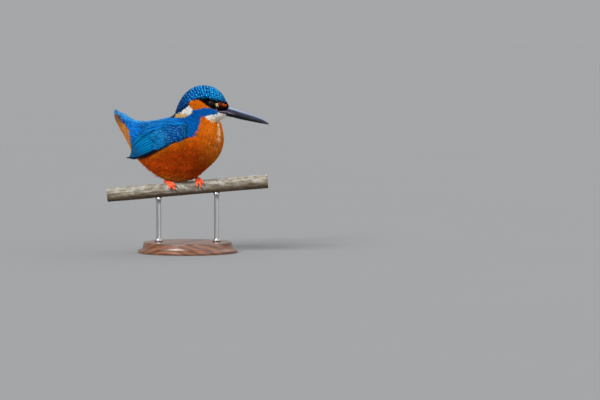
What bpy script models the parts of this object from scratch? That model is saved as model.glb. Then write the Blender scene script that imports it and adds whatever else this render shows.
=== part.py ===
# A common kingfisher (Alcedo atthis), a life-size still model perched on a cut branch over a display stand.
# +X is the way the trunk faces, +Y its left side, +Z up. The origin is the centre of the base's underside.

import math

import bmesh
import bpy
import numpy as np
from mathutils import Matrix, Vector
from mathutils.bvhtree import BVHTree

MM = 0.001
GAP = 0.3 * MM  # clearance between neighbouring solids

# Stand and perch
BASE_RADIUS = 46 * MM
BASE_HEIGHT = 10 * MM
BASE_STEP = 3 * MM  # height of the wider foot ring under the cove
BASE_BEVEL = 0.8 * MM
ROD_RADIUS = 2.2 * MM
ROD_DEPTH = 4 * MM  # how far a rod goes into the base and into the perch
ROD_SPREAD = 27 * MM  # each rod's distance from the middle of the perch
PERCH_RADIUS = 6.4 * MM
PERCH_LENGTH = 150 * MM
PERCH_UNEVEN = 0.02  # share of the radius by which it swells and narrows
PERCH_HEIGHT = 60 * MM  # of its centre line over the middle of the base
PERCH_TURN = math.radians(20)  # of the branch from the way the trunk faces
PERCH_SLOPE = math.radians(5)

# Carriage of the head
HEAD_TURN = math.radians(11)  # to the left of the trunk
NECK_AXIS_X = 9 * MM

# Body sections from the bill to the tail tip, in millimetres on the plane of symmetry: the section's
# upper end (x, z), its lower end (x, z), its greatest half-width, and how far down that width lies.
SECTIONS = (
    ("bill base", 40.0, 135.5, 36.4, 128.0, 4.8, 0.50),
    ("lores", 36.2, 140.9, 34.1, 126.2, 7.6, 0.55),
    ("brow", 30.6, 147.4, 32.4, 124.9, 10.2, 0.58),
    ("eye", 24.0, 153.1, 31.2, 123.6, 12.2, 0.58),
    ("crown", 15.0, 155.8, 30.8, 122.5, 13.6, 0.57),
    ("rear crown", 5.1, 153.2, 30.9, 121.6, 14.4, 0.55),
    ("hind crown", -3.4, 146.1, 31.4, 120.8, 14.8, 0.53),
    ("nape", -8.7, 137.2, 32.1, 119.6, 15.2, 0.52),
    ("hindneck", -12.4, 128.6, 33.1, 117.2, 16.2, 0.51),
    ("mantle", -18.6, 125.8, 34.4, 112.6, 18.0, 0.51),
    ("shoulder", -27.2, 124.2, 35.2, 106.0, 20.0, 0.51),
    ("breast", -34.6, 122.9, 34.0, 98.0, 21.6, 0.51),
    ("low breast", -40.2, 122.2, 29.4, 88.9, 22.6, 0.52),
    ("fore belly", -44.0, 122.1, 19.4, 79.0, 23.0, 0.53),
    ("belly", -46.8, 122.1, 6.2, 70.4, 22.8, 0.54),
    ("low belly", -49.2, 122.2, -9.6, 66.8, 21.8, 0.55),
    ("rear belly", -51.2, 122.5, -26.8, 71.8, 19.8, 0.55),
    ("flank", -52.8, 122.9, -40.6, 80.4, 17.2, 0.54),
    ("vent", -54.2, 123.2, -50.0, 88.6, 14.8, 0.52),
    ("undertail", -55.6, 123.7, -56.0, 98.4, 13.0, 0.50),
    ("tail root", -57.4, 124.5, -61.4, 108.6, 11.6, 0.52),
    ("mid tail", -60.4, 126.2, -65.6, 116.6, 10.6, 0.60),
    ("low tail", -65.0, 129.2, -68.2, 122.4, 9.8, 0.65),
    ("tail tip", -69.6, 131.6, -71.0, 128.6, 8.0, 0.60),
)
TURN_START, TURN_END = 5, 10  # sections between which the neck takes up the head's turn
HEAD_END, NECK_END, TRUNK_END = 7.0, 8.6, 19.0  # where the thin cuts part the body
RINGS_PER_SECTION = 2
RING_SIDES = 28

# Wing outline on the side view, in millimetres, from the bend to the tip of the longest feather
WING_LOWER = (
    (11.4, 111.4), (4.4, 107.0), (-4.4, 104.0), (-11.3, 100.6), (-23.6, 94.9),
    (-35.2, 90.9), (-45.9, 88.9), (-56.9, 87.6),
)
WING_UPPER = (
    (11.0, 121.2), (3.2, 123.8), (-7.0, 124.6), (-18.0, 123.0), (-29.6, 118.4),
    (-39.8, 110.6), (-48.6, 99.6), (-56.4, 89.2),
)
WING_STEPS_LONG = 22
WING_STEPS_ACROSS = 6
WING_RISE = 2.4 * MM  # how far the folded wing stands out from the flank
WING_THICK = 2.2 * MM
WING_EDGE = 0.7 * MM
WING_TIP_SIDE = 9.0 * MM  # the tip's distance from the plane of symmetry
WING_BEND_SIDE = 12.0 * MM

# Eye
EYE_RADIUS = 3.7 * MM
EYE_PLACE = (24.5 * MM, 139.1 * MM)  # in the head's own plane, before its turn
EYE_SHOWS = 1.25 * MM  # how far the cornea stands out from the cheek

# Bill, in millimetres on the head's plane: x, ridge height, cutting-edge height, keel height, half-width
BILL = (
    (40.4, 135.3, 131.0, 127.4, 4.7),
    (44.2, 134.0, 129.6, 125.9, 3.9),
    (50.0, 132.0, 127.9, 124.4, 3.2),
    (57.2, 129.7, 125.8, 123.0, 2.5),
    (64.4, 127.3, 123.8, 121.6, 1.9),
    (71.2, 124.5, 122.0, 120.4, 1.3),
    (77.0, 120.9, 120.2, 119.5, 0.5),
)
BILL_ROOT_LEAN = (40.0 - 36.4) / (135.5 - 128.0)  # the root slants back downward with the face
BILL_SIDES = 8
BILL_RINGS_PER_STEP = 2

# Legs and feet, lengths in millimetres along the perch from its middle
TARSUS_RADIUS = 1.35 * MM
TOE_RADIUS = 1.15 * MM
CLAW_ROOT, CLAW_TIP = 0.7 * MM, 0.27 * MM
CLAW_ANGLE = math.radians(26)  # how far round the perch a claw reaches past its toe
TUBE_SIDES = 7
FEET = {
    # name: place along the perch, the belly point the leg comes from (x, y, z), lean of the toes
    "leg_right": (-19.0, (-22.5, -8.0, 74.0), 0.50),
    "leg_left": (10.0, (-0.5, 5.5, 74.5), 0.05),
}
# each toe: shift along the perch, how far round it ends, and its own lean added to the foot's
TOES = ((-1.9, 84, 0.10), (0.0, 92, 0.24), (2.0, 66, 0.42))
HIND_TOE = (0.4, -58, -0.25)
TOE_START = -8  # degrees round the perch where the toes leave the tarsus


def clear_scene():
    for obj in list(bpy.data.objects):
        bpy.data.objects.remove(obj, do_unlink=True)


def material(name, color, roughness, metallic=0.0):
    made = bpy.data.materials.new(name)
    made.use_nodes = True
    shader = made.node_tree.nodes["Principled BSDF"]
    shader.inputs["Base Color"].default_value = (*color, 1)
    shader.inputs["Roughness"].default_value = roughness
    shader.inputs["Metallic"].default_value = metallic
    return made


def new_object(name, points, faces, finish=None):
    mesh = bpy.data.meshes.new(name)
    mesh.from_pydata([tuple(p) for p in points], [], faces)
    work = bmesh.new()
    work.from_mesh(mesh)
    bmesh.ops.recalc_face_normals(work, faces=work.faces)
    work.to_mesh(mesh)
    work.free()
    mesh.shade_smooth()
    obj = bpy.data.objects.new(name, mesh)
    bpy.context.scene.collection.objects.link(obj)
    if finish:
        mesh.materials.append(finish)
    return obj


def cutter(obj):
    obj.hide_render = True
    obj.display_type = "WIRE"
    return obj


def subtract(obj, tool):
    cut = obj.modifiers.new(tool.name, "BOOLEAN")
    cut.operation = "DIFFERENCE"
    cut.object = tool


def unite(obj, tool):
    joined = obj.modifiers.new(tool.name, "BOOLEAN")
    joined.operation = "UNION"
    joined.object = tool


def through(rows, places):
    """Values at fractional row numbers on a Catmull-Rom curve through the rows."""
    rows = np.asarray(rows, float)
    places = np.clip(np.atleast_1d(np.asarray(places, float)), 0, len(rows) - 1)
    padded = np.vstack([2 * rows[0] - rows[1], rows, 2 * rows[-1] - rows[-2]])
    i = np.minimum(places.astype(int), len(rows) - 2)
    t = (places - i)[:, None]
    a, b, c, d = padded[i], padded[i + 1], padded[i + 2], padded[i + 3]
    return 0.5 * (2 * b + (c - a) * t + (2 * a - 5 * b + 4 * c - d) * t**2 + (3 * b - a - 3 * c + d) * t**3)


def smooth(t):
    t = np.clip(t, 0, 1)
    return t * t * (3 - 2 * t)


def head_turned(points, angle):
    """Points turned about the neck's upright axis."""
    points = np.array(points, float)
    x, y = points[..., 0] - NECK_AXIS_X, points[..., 1].copy()
    points[..., 0] = NECK_AXIS_X + x * np.cos(angle) - y * np.sin(angle)
    points[..., 1] = x * np.sin(angle) + y * np.cos(angle)
    return points


def body_rings(places, sides=RING_SIDES):
    """Rings of the body at fractional section numbers, each running from the upper end round the right side."""
    places = np.asarray(places, float)
    rows = through([row[1:] for row in SECTIONS], places)
    upper_x, upper_z, lower_x, lower_z, width, middle = rows.T[:, :, None]
    round_angle = np.linspace(0, 2 * math.pi, sides, endpoint=False)[None, :]
    down = (1 - np.cos(round_angle)) / 2
    down = down + 4 * (middle - 0.5) * down * (1 - down)
    x = upper_x + (lower_x - upper_x) * down
    y = -width * np.sin(round_angle)
    z = upper_z + (lower_z - upper_z) * down
    rings = np.stack([x, y, z], axis=-1) * MM
    turn = HEAD_TURN * (1 - smooth((places - TURN_START) / (TURN_END - TURN_START)))
    return head_turned(rings, turn[:, None])


def ring_normal(ring):
    side = len(ring) // 4
    across = Vector(ring[side]) - Vector(ring[3 * side])
    down = Vector(ring[2 * side]) - Vector(ring[0])
    return np.array(down.cross(across).normalized())


def ring_faces(rings, sides):
    """Quads between neighbouring rings, and a flat cap on each end, all facing out."""
    faces = []
    for r in range(rings - 1):
        for s in range(sides):
            a, b = r * sides + s, r * sides + (s + 1) % sides
            faces.append((a, b, b + sides, a + sides))
    faces.append(tuple(reversed(range(sides))))
    faces.append(tuple((rings - 1) * sides + s for s in range(sides)))
    return faces


def body_part(name, start, end, finish):
    """A length of the body between two cuts, each end drawn back by half the gap."""
    count = max(3, round((end - start) * RINGS_PER_SECTION) + 1)
    rings = body_rings(np.linspace(start, end, count))
    rings[0] += ring_normal(rings[0]) * GAP / 2
    rings[-1] -= ring_normal(rings[-1]) * GAP / 2
    return new_object(name, rings.reshape(-1, 3), ring_faces(count, RING_SIDES), finish)


def grown_copy(obj, name, distance):
    """A cutter of the same shape, larger all round by the distance."""
    mesh = obj.data.copy()
    mesh.name = name
    normals = np.empty(len(mesh.vertices) * 3, np.float32)
    mesh.vertices.foreach_get("normal", normals)
    points = np.empty(len(mesh.vertices) * 3, np.float32)
    mesh.vertices.foreach_get("co", points)
    mesh.vertices.foreach_set("co", points + normals * distance)
    mesh.update()
    tool = bpy.data.objects.new(name, mesh)
    bpy.context.scene.collection.objects.link(tool)
    return cutter(tool)


def whole_body_tree():
    count = (len(SECTIONS) - 1) * RINGS_PER_SECTION * 2 + 1
    rings = body_rings(np.linspace(0, len(SECTIONS) - 1, count), 64)
    return BVHTree.FromPolygons([Vector(p) for p in rings.reshape(-1, 3)], ring_faces(count, 64))


def flank_width(tree, x, z, side):
    """How far the body reaches to one side of the plane of symmetry at a place on the side view."""
    far = 60 * MM
    hit = tree.ray_cast(Vector((x, side * far, z)), Vector((0, -side, 0)))[0]
    return 0.0 if hit is None else abs(hit.y)


def wing(name, side, tree, finish):
    """A closed shell that follows the flank: outer and inner sheets joined round the outline."""
    long_places = np.linspace(0, 1, WING_STEPS_LONG + 1)
    lower = through(WING_LOWER, long_places * (len(WING_LOWER) - 1)) * MM
    upper = through(WING_UPPER, long_places * (len(WING_UPPER) - 1)) * MM
    outer, inner = [], []
    for i, along in enumerate(long_places):
        floor = WING_BEND_SIDE + (WING_TIP_SIDE - WING_BEND_SIDE) * along
        for j in range(WING_STEPS_ACROSS + 1):
            across = j / WING_STEPS_ACROSS
            x, z = upper[i] + (lower[i] - upper[i]) * across
            flank = flank_width(tree, x, z, side)
            blend = 3 * MM
            bed = (flank + floor + math.hypot(flank - floor, blend)) / 2
            crown = math.sqrt(max(0.0, 4 * across * (1 - across)))
            ends = min(1.0, 4 * along + 0.35, 3 * (1 - along) + 0.3)
            rise = WING_RISE * (0.45 + 0.55 * crown) * ends
            thick = WING_EDGE + (WING_THICK - WING_EDGE) * crown * ends
            outer.append((x, side * (bed + rise), z))
            inner.append((x, side * (bed + rise - thick), z))
    rows, columns = WING_STEPS_LONG + 1, WING_STEPS_ACROSS + 1
    back = len(outer)
    faces = []
    for i in range(rows - 1):
        for j in range(columns - 1):
            a = i * columns + j
            faces.append((a, a + columns, a + columns + 1, a + 1))
            faces.append((back + a, back + a + 1, back + a + columns + 1, back + a + columns))
    rim = [i * columns for i in range(rows)]
    rim += [(rows - 1) * columns + j for j in range(1, columns)]
    rim += [i * columns + columns - 1 for i in range(rows - 2, -1, -1)]
    rim += list(range(columns - 2, 0, -1))
    for a, b in zip(rim, rim[1:] + rim[:1]):
        faces.append((a, back + a, back + b, b))
    if side > 0:
        faces = [tuple(reversed(face)) for face in faces]
    return new_object(name, outer + inner, faces, finish)


def bill_half(name, top_column, bottom_column, finish, upper):
    """One mandible: a half-round section under or over a flat cutting edge, tapering to the tip."""
    places = np.linspace(0, len(BILL) - 1, (len(BILL) - 1) * BILL_RINGS_PER_STEP + 1)
    rows = through(BILL, places) * MM
    angles = np.linspace(0, math.pi, BILL_SIDES + 1)
    rings = []
    for place, row in zip(places, rows):
        x, width = row[0], row[4]
        edge = row[2] + (GAP / 2 if upper else -GAP / 2)
        crest = row[top_column] if upper else row[bottom_column]
        height = crest - edge
        lean = BILL_ROOT_LEAN * max(0.0, 1 - place)
        ring = []
        for a in angles:
            z = edge + height * math.sin(a) ** 0.8
            ring.append((x + lean * (z - rows[0][1]), -width * math.cos(a), z))
        rings.append(ring if upper else ring[::-1])
    rings = head_turned(rings, HEAD_TURN)
    sides = BILL_SIDES + 1
    return new_object(name, rings.reshape(-1, 3), ring_faces(len(rows), sides), finish)


def sphere(name, centre, radius, finish=None, segments=16, rings=10):
    points = [Vector((0, 0, radius)) + Vector(centre)]
    for i in range(1, rings):
        tilt = math.pi * i / rings
        for j in range(segments):
            turn = 2 * math.pi * j / segments
            flat = radius * math.sin(tilt)
            points.append(Vector((flat * math.cos(turn), flat * math.sin(turn), radius * math.cos(tilt))) + Vector(centre))
    points.append(Vector((0, 0, -radius)) + Vector(centre))
    faces = []
    for j in range(segments):
        k = (j + 1) % segments
        faces.append((0, 1 + j, 1 + k))
        for i in range(rings - 2):
            a, b = 1 + i * segments + j, 1 + i * segments + k
            faces.append((a, a + segments, b + segments, b))
        last = 1 + (rings - 2) * segments
        faces.append((last + k, last + j, len(points) - 1))
    return new_object(name, points, faces, finish)


def eye(name, side, tree, head, finish):
    x, z = EYE_PLACE
    # the cheek's own half-width where the eye sits, measured before the head is turned
    away = head_turned(np.array([[x, side * 60 * MM, z]]), HEAD_TURN)[0]
    toward = head_turned(np.array([[x, 0, z]]), HEAD_TURN)[0]
    ray = Vector(toward - away)
    hit = tree.ray_cast(Vector(away), ray.normalized())[0]
    centre = hit + ray.normalized() * (EYE_RADIUS - EYE_SHOWS)
    ball = sphere(name, centre, EYE_RADIUS, finish)
    socket = cutter(sphere(name + "_socket", centre, EYE_RADIUS + GAP))
    subtract(head, socket)
    return ball


def tube(name, path, radii, finish=None, sides=TUBE_SIDES):
    """A closed tube of changing radius along a path, with a steady reference direction."""
    path = [Vector(p) for p in path]
    points = []
    frame_up = None
    for i, centre in enumerate(path):
        ahead = (path[min(i + 1, len(path) - 1)] - path[max(i - 1, 0)]).normalized()
        if frame_up is None:
            frame_up = ahead.orthogonal().normalized()
        frame_up = (frame_up - ahead * frame_up.dot(ahead)).normalized()
        across = ahead.cross(frame_up)
        for s in range(sides):
            turn = 2 * math.pi * s / sides
            points.append(centre + (frame_up * math.cos(turn) + across * math.sin(turn)) * radii[i])
    return new_object(name, points, ring_faces(len(path), sides), finish)


def perch_frame():
    """The perch's middle, its own direction, the side toward its front, and its upward direction."""
    along = Vector((
        math.cos(PERCH_TURN) * math.cos(PERCH_SLOPE),
        math.sin(PERCH_TURN) * math.cos(PERCH_SLOPE),
        math.sin(PERCH_SLOPE),
    ))
    front = Vector((math.sin(PERCH_TURN), -math.cos(PERCH_TURN), 0))
    return Vector((0, 0, PERCH_HEIGHT)), along, front, front.cross(along)


def on_perch(distance, degrees, height):
    """A point over the bark: distance along the perch, degrees from its top toward its front."""
    middle, along, front, up = perch_frame()
    turn = math.radians(degrees)
    out = up * math.cos(turn) + front * math.sin(turn)
    return middle + along * distance + out * (PERCH_RADIUS + height)


def toe(name, start, shift, end_degrees, lean):
    """A toe that winds from the tarsus round the bark, and its claw, as one tapering tube."""
    steps = 7
    sign = 1 if end_degrees > 0 else -1
    path, radii = [], []
    for i in range(steps + 1):
        t = i / steps
        degrees = TOE_START + (end_degrees - TOE_START) * t
        arc = math.radians(degrees) * PERCH_RADIUS
        radius = TOE_RADIUS * (1.08 - 0.25 * t)
        path.append(on_perch(start + shift * (0.4 + 0.6 * t) * MM + arc * lean, degrees, radius + GAP))
        radii.append(radius)
    claw_steps = 3
    for i in range(1, claw_steps + 1):
        t = i / claw_steps
        degrees = end_degrees + sign * math.degrees(CLAW_ANGLE) * t
        arc = math.radians(degrees) * PERCH_RADIUS
        radius = CLAW_ROOT + (CLAW_TIP - CLAW_ROOT) * t
        lift = 0.9 * MM * math.sin(math.pi * t) + radius + GAP
        path.append(on_perch(start + shift * MM + arc * lean, degrees, lift))
        radii.append(radius)
    return tube(name, path, radii)


def leg(name, finish, trunk_tool):
    place, root, lean = FEET[name]
    start = place * MM
    ball = on_perch(start, TOE_START, TOE_RADIUS + GAP + 0.15 * MM)
    root = Vector(root) * MM
    bend = root.lerp(ball, 0.6)
    limb = tube(
        name,
        [root, root.lerp(ball, 0.3), bend, ball.lerp(bend, 0.25), ball],
        [TARSUS_RADIUS * k for k in (1.3, 1.1, 1.0, 1.0, 1.08)],
        finish,
        TUBE_SIDES + 2,
    )
    for number, (shift, end_degrees, own_lean) in enumerate(TOES):
        unite(limb, cutter(toe(f"{name}_toe_{number + 2}", start, shift, end_degrees, lean + own_lean)))
    shift, end_degrees, own_lean = HIND_TOE
    unite(limb, cutter(toe(f"{name}_hind_toe", start, shift, end_degrees, lean + own_lean)))
    subtract(limb, trunk_tool)
    return limb


def turned(name, profile, finish, segments=48):
    """A solid turned about the upright axis from (radius, height) pairs, bottom to top."""
    points, faces = [], []
    for radius, height in profile:
        for s in range(segments):
            turn = 2 * math.pi * s / segments
            points.append((radius * math.cos(turn), radius * math.sin(turn), height))
    return new_object(name, points, ring_faces(len(profile), segments), finish)


def stand_base(finish):
    cove = 5 * MM
    profile = [(BASE_RADIUS - BASE_BEVEL, 0), (BASE_RADIUS, BASE_BEVEL), (BASE_RADIUS, BASE_STEP)]
    for i in range(1, 6):
        turn = math.pi / 2 * i / 6
        profile.append((BASE_RADIUS - cove * math.sin(turn) * 0.8, BASE_STEP + cove * (1 - math.cos(turn))))
    profile += [(BASE_RADIUS - cove, BASE_HEIGHT - BASE_BEVEL), (BASE_RADIUS - cove - BASE_BEVEL, BASE_HEIGHT)]
    return turned("stand_base", profile, finish)


def upright(name, foot, height, radius, finish=None, segments=16):
    path = [(foot[0], foot[1], foot[2]), (foot[0], foot[1], foot[2] + height)]
    return tube(name, path, [radius, radius], finish, segments)


def perch(finish):
    """A cut length of branch, slightly uneven in its thickness, with sawn ends."""
    middle, along, front, up = perch_frame()
    rings, sides = 19, 16
    points = []
    for i in range(rings):
        t = i / (rings - 1)
        centre = middle + along * (t - 0.5) * PERCH_LENGTH
        swell = 1 - PERCH_UNEVEN * math.cos(5 * t * math.pi) * smooth(abs(t - 0.5) * 4)
        for s in range(sides):
            turn = 2 * math.pi * s / sides
            points.append(centre + (up * math.cos(turn) + front * math.sin(turn)) * PERCH_RADIUS * swell)
    return new_object("perch", points, ring_faces(rings, sides), finish)


def build():
    clear_scene()
    blue = material("blue_plumage", (0.01, 0.16, 0.45), 0.5)
    orange = material("orange_plumage", (0.55, 0.14, 0.02), 0.7)
    horn = material("bill_horn", (0.02, 0.02, 0.03), 0.3)
    wet_eye = material("eye_gloss", (0.01, 0.006, 0.004), 0.05)
    red_skin = material("foot_skin", (0.7, 0.09, 0.03), 0.45)
    bark = material("bark", (0.3, 0.27, 0.22), 0.85)
    wood = material("stand_wood", (0.18, 0.09, 0.04), 0.4)
    steel = material("stand_steel", (0.6, 0.6, 0.6), 0.3, 1.0)

    head = body_part("head", 0, HEAD_END, blue)
    neck = body_part("neck", HEAD_END, NECK_END, blue)
    trunk = body_part("trunk", NECK_END, TRUNK_END, orange)
    body_part("tail", TRUNK_END, len(SECTIONS) - 1, blue)

    tree = whole_body_tree()
    eye("eye_right", -1, tree, head, wet_eye)
    eye("eye_left", 1, tree, head, wet_eye)
    bill_half("bill_upper", 1, 3, horn, True)
    bill_half("bill_lower", 1, 3, horn, False)

    trunk_tool = grown_copy(trunk, "trunk_clearance", GAP)
    for name in FEET:
        leg(name, red_skin, trunk_tool)
    for name, side in (("wing_right", -1), ("wing_left", 1)):
        tool = grown_copy(wing(name, side, tree, blue), name + "_clearance", GAP)
        subtract(trunk, tool)
        subtract(neck, tool)

    middle, along, front, up = perch_frame()
    branch = perch(bark)
    base = stand_base(wood)
    for name, way in (("stand_rod_rear", -1), ("stand_rod_front", 1)):
        at = middle + along * ROD_SPREAD * way
        foot = Vector((at.x, at.y, BASE_HEIGHT - ROD_DEPTH))
        height = at.z - PERCH_RADIUS + ROD_DEPTH - foot.z
        upright(name, foot, height, ROD_RADIUS, steel)
        bore = cutter(upright(name + "_bore", foot - Vector((0, 0, GAP)), height + 2 * GAP, ROD_RADIUS + GAP))
        subtract(base, bore)
        subtract(branch, bore)


build()
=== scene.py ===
import math
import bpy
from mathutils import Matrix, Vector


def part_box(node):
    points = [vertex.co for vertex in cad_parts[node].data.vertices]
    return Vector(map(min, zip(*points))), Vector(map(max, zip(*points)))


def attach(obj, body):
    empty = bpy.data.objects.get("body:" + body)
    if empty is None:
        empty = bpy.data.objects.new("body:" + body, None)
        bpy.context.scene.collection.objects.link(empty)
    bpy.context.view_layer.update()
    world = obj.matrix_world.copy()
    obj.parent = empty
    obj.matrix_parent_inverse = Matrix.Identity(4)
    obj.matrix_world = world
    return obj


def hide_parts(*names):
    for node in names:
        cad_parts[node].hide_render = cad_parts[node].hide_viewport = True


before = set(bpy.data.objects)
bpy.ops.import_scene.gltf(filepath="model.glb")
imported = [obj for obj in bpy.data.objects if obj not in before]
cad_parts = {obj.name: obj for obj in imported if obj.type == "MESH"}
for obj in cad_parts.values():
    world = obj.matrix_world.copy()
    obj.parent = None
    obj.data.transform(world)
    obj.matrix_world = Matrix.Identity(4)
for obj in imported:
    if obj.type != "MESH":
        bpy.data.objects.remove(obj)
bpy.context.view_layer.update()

from types import SimpleNamespace

import bmesh
import bpy
import numpy as np
from mathutils import Matrix, Vector

# A common kingfisher on a cut branch over a turned stand. X is the way the trunk faces, Y its left, Z up.
# In the dictionaries lengths are millimetres and colours run from 0 to 255, unless a note says otherwise.

mm = 0.001
bothSides = (("right", -1), ("left", 1))
dice = np.random.default_rng(1187)
print("frame loaded:", len(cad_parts), "nodes")

view = {
    "side": 20.0,  # degrees round from square on to the right side, toward the front
    "rise": 3.0,  # degrees above level
    "distance": 3.1,  # metres
    "lens": 200.0,
    "shiftRight": 0.1046,  # metres from the perch's middle to the middle of the picture
    "shiftUp": -0.0112,
}
viewSide = math.radians(view["side"])
viewRight = Vector((math.cos(viewSide), math.sin(viewSide), 0))


def makeCamera():
    rise = math.radians(view["rise"])
    back = Vector((
        math.sin(viewSide) * math.cos(rise),
        -math.cos(viewSide) * math.cos(rise),
        math.sin(rise),
    ))
    up = back.cross(viewRight)
    low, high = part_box("perch")
    middle = Vector((0, 0, (low[2] + high[2]) / 2))
    place = middle + viewRight * view["shiftRight"] + up * view["shiftUp"] + back * view["distance"]
    camera = bpy.data.objects.new("camera", bpy.data.cameras.new("camera"))
    camera.data.lens = view["lens"]
    camera.data.sensor_width = 36
    camera.data.clip_end = 200
    camera.matrix_world = Matrix.Translation(place) @ Matrix((viewRight, up, back)).transposed().to_4x4()
    bpy.context.scene.collection.objects.link(camera)
    bpy.context.scene.camera = camera
    bpy.context.scene.view_settings.view_transform = "Standard"  # keeps the plumage's own colours


makeCamera()


def smooth(t):
    t = np.clip(t, 0, 1)
    return t * t * (3 - 2 * t)


def mix(a, b, t):
    return a + (b - a) * t


def linear(color):  # scene-linear values of a screen colour
    c = np.asarray(color, float) / 255
    return np.where(c <= 0.04045, c / 12.92, ((c + 0.055) / 1.055) ** 2.4)


def unit(v):
    return v / np.maximum(np.linalg.norm(v, axis=-1, keepdims=True), 1e-12)


def circle(count):  # angles evenly round a circle
    return np.linspace(0, 2 * math.pi, count, endpoint=False)


# Catmull-Rom: a cubic between each two rows, whose slope at a row is half the step between its neighbours
def through(rows, places):
    rows = np.asarray(rows, float)
    places = np.clip(np.asarray(places, float), 0, len(rows) - 1)
    padded = np.vstack([2 * rows[:1] - rows[1:2], rows, 2 * rows[-1:] - rows[-2:-1]])
    i = np.minimum(places.astype(int), len(rows) - 2)
    t = (places - i)[..., None]
    a, b, c, d = (padded[i + k] for k in range(4))
    square = (2 * a - 5 * b + 4 * c - d) * t**2
    return 0.5 * (2 * b + (c - a) * t + square + (3 * b - a - 3 * c + d) * t**3)


# Even-odd test: true where a ray to the right of the point crosses the closed outline an odd number of times
def inside(outline, x, z):
    points = np.asarray(outline, float)
    odd = np.zeros(np.shape(x), bool)
    for (x0, z0), (x1, z1) in zip(points, np.roll(points, -1, axis=0)):
        crosses = (z0 > z) != (z1 > z)
        odd ^= crosses & (x < x0 + (z - z0) * (x1 - x0) / (z1 - z0 + 1e-12))
    return odd


def lineAt(line, x):  # height at x of a line through points x, z
    line = np.array(line)
    line = line[np.argsort(line[:, 0])]
    return np.interp(x, line[:, 0], line[:, 1])


# Which of the sample's rows x, z lies nearest to each point, and the distance between them squared
def nearest(sample, x, z):
    away = (sample[:, 0] - x[:, None]) ** 2 + (sample[:, 1] - z[:, None]) ** 2
    near = away.argmin(1)
    return near, away[np.arange(len(near)), near]


def picked(keep, *values):
    return [v[keep] for v in values]


def linked(name, mesh):
    piece = bpy.data.objects.new(name, mesh)
    bpy.context.scene.collection.objects.link(piece)
    return piece


def addTint(mesh, tint):
    layer = mesh.color_attributes.new("tint", "FLOAT_COLOR", "POINT")
    solid = np.ones((len(tint), 4), np.float32)
    solid[:, :3] = tint
    layer.data.foreach_set("color", solid.reshape(-1))


# A mesh object from arrays: points in metres, faces as rows of indices, maps, tint and values one per point
def newPiece(name, points, quads, tris=(), maps=None, tint=None, values=None):
    parts = [np.asarray(f, np.int64).reshape(-1, n) for f, n in ((quads, 4), (tris, 3)) if len(f)]
    corners = np.concatenate([f.reshape(-1) for f in parts])
    counts = np.concatenate([np.full(len(f), f.shape[1]) for f in parts])
    mesh = bpy.data.meshes.new(name)
    mesh.vertices.add(len(points))
    mesh.vertices.foreach_set("co", np.ascontiguousarray(points, np.float32).reshape(-1))
    mesh.loops.add(len(corners))
    mesh.loops.foreach_set("vertex_index", corners.astype(np.int32))
    mesh.polygons.add(len(counts))
    mesh.polygons.foreach_set("loop_start", (np.cumsum(counts) - counts).astype(np.int32))
    mesh.update(calc_edges=True)
    mesh.validate()
    mesh.shade_smooth()
    for key, uv in (maps or {}).items():
        layer = mesh.uv_layers.new(name=key)
        layer.data.foreach_set("uv", np.asarray(uv, np.float32)[corners].reshape(-1))
    if tint is not None:
        addTint(mesh, tint)
    for key, value in (values or {}).items():
        layer = mesh.attributes.new(key, "FLOAT", "POINT")
        layer.data.foreach_set("value", np.ascontiguousarray(value, np.float32).reshape(-1))
    return linked(name, mesh)


# Quads of a grid of points, its columns closed round
def gridFaces(rows, columns):
    low = np.arange(rows - 1)[:, None] * columns
    c = np.arange(columns)
    after = (c + 1) % columns
    high = low + columns
    return np.stack([low + c, low + after, high + after, high + c], -1).reshape(-1, 4)


# Quads of a tube of rings and the fans that close its ends round two middle points, which follow the rings
def tubeFaces(rows, columns):
    c = np.arange(columns)
    after = (c + 1) % columns
    last = (rows - 1) * columns
    first = np.stack([np.full(columns, rows * columns), after, c], -1)
    final = np.stack([np.full(columns, rows * columns + 1), last + c, last + after], -1)
    return gridFaces(rows, columns), np.vstack([first, final])


def closedTube(rings):
    points = np.vstack([rings.reshape(-1, 3), rings[0].mean(0), rings[-1].mean(0)])
    return (points, *tubeFaces(*rings.shape[:2]))


def outwardFaces(piece):
    work = bmesh.new()
    work.from_mesh(piece.data)
    bmesh.ops.recalc_face_normals(work, faces=work.faces)
    work.to_mesh(piece.data)
    work.free()
    return piece


# Rings round a path: each is a circle square to the path, its first point kept from twisting
def tubeRings(path, radii, count):
    ahead = unit(np.gradient(path, axis=0))
    up = np.cross(ahead[0], [0.31, 0.82, 0.48])
    ups = []
    for direction in ahead:
        up = up - direction * np.dot(up, direction)
        up = up / np.linalg.norm(up)
        ups.append(up)
    ups = np.array(ups)[:, None]
    across = np.cross(ahead[:, None], ups)
    turn = circle(count)[None, :, None]
    return path[:, None] + (ups * np.cos(turn) + across * np.sin(turn)) * np.asarray(radii)[:, None, None]


# Several closed tubes in one mesh
def joinedTubes(name, tubes):
    parts = [closedTube(rows) for rows in tubes]
    starts = np.cumsum([0] + [len(points) for points, _, _ in parts])
    points = np.vstack([points for points, _, _ in parts])
    quads = np.vstack([quads + start for (_, quads, _), start in zip(parts, starts)])
    tris = np.vstack([tris + start for (_, _, tris), start in zip(parts, starts)])
    return outwardFaces(newPiece(name, points, quads, tris))


def finished(piece, material, slotName, *replaced):
    if material:
        piece.data.materials.append(material)
    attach(piece, "root")
    if replaced:
        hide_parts(*replaced)


def closedPiece(name, rings, material, slotName, *replaced, values=None):
    piece = outwardFaces(newPiece(name, *closedTube(rings), values=values))
    finished(piece, material, slotName, *replaced)


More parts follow.
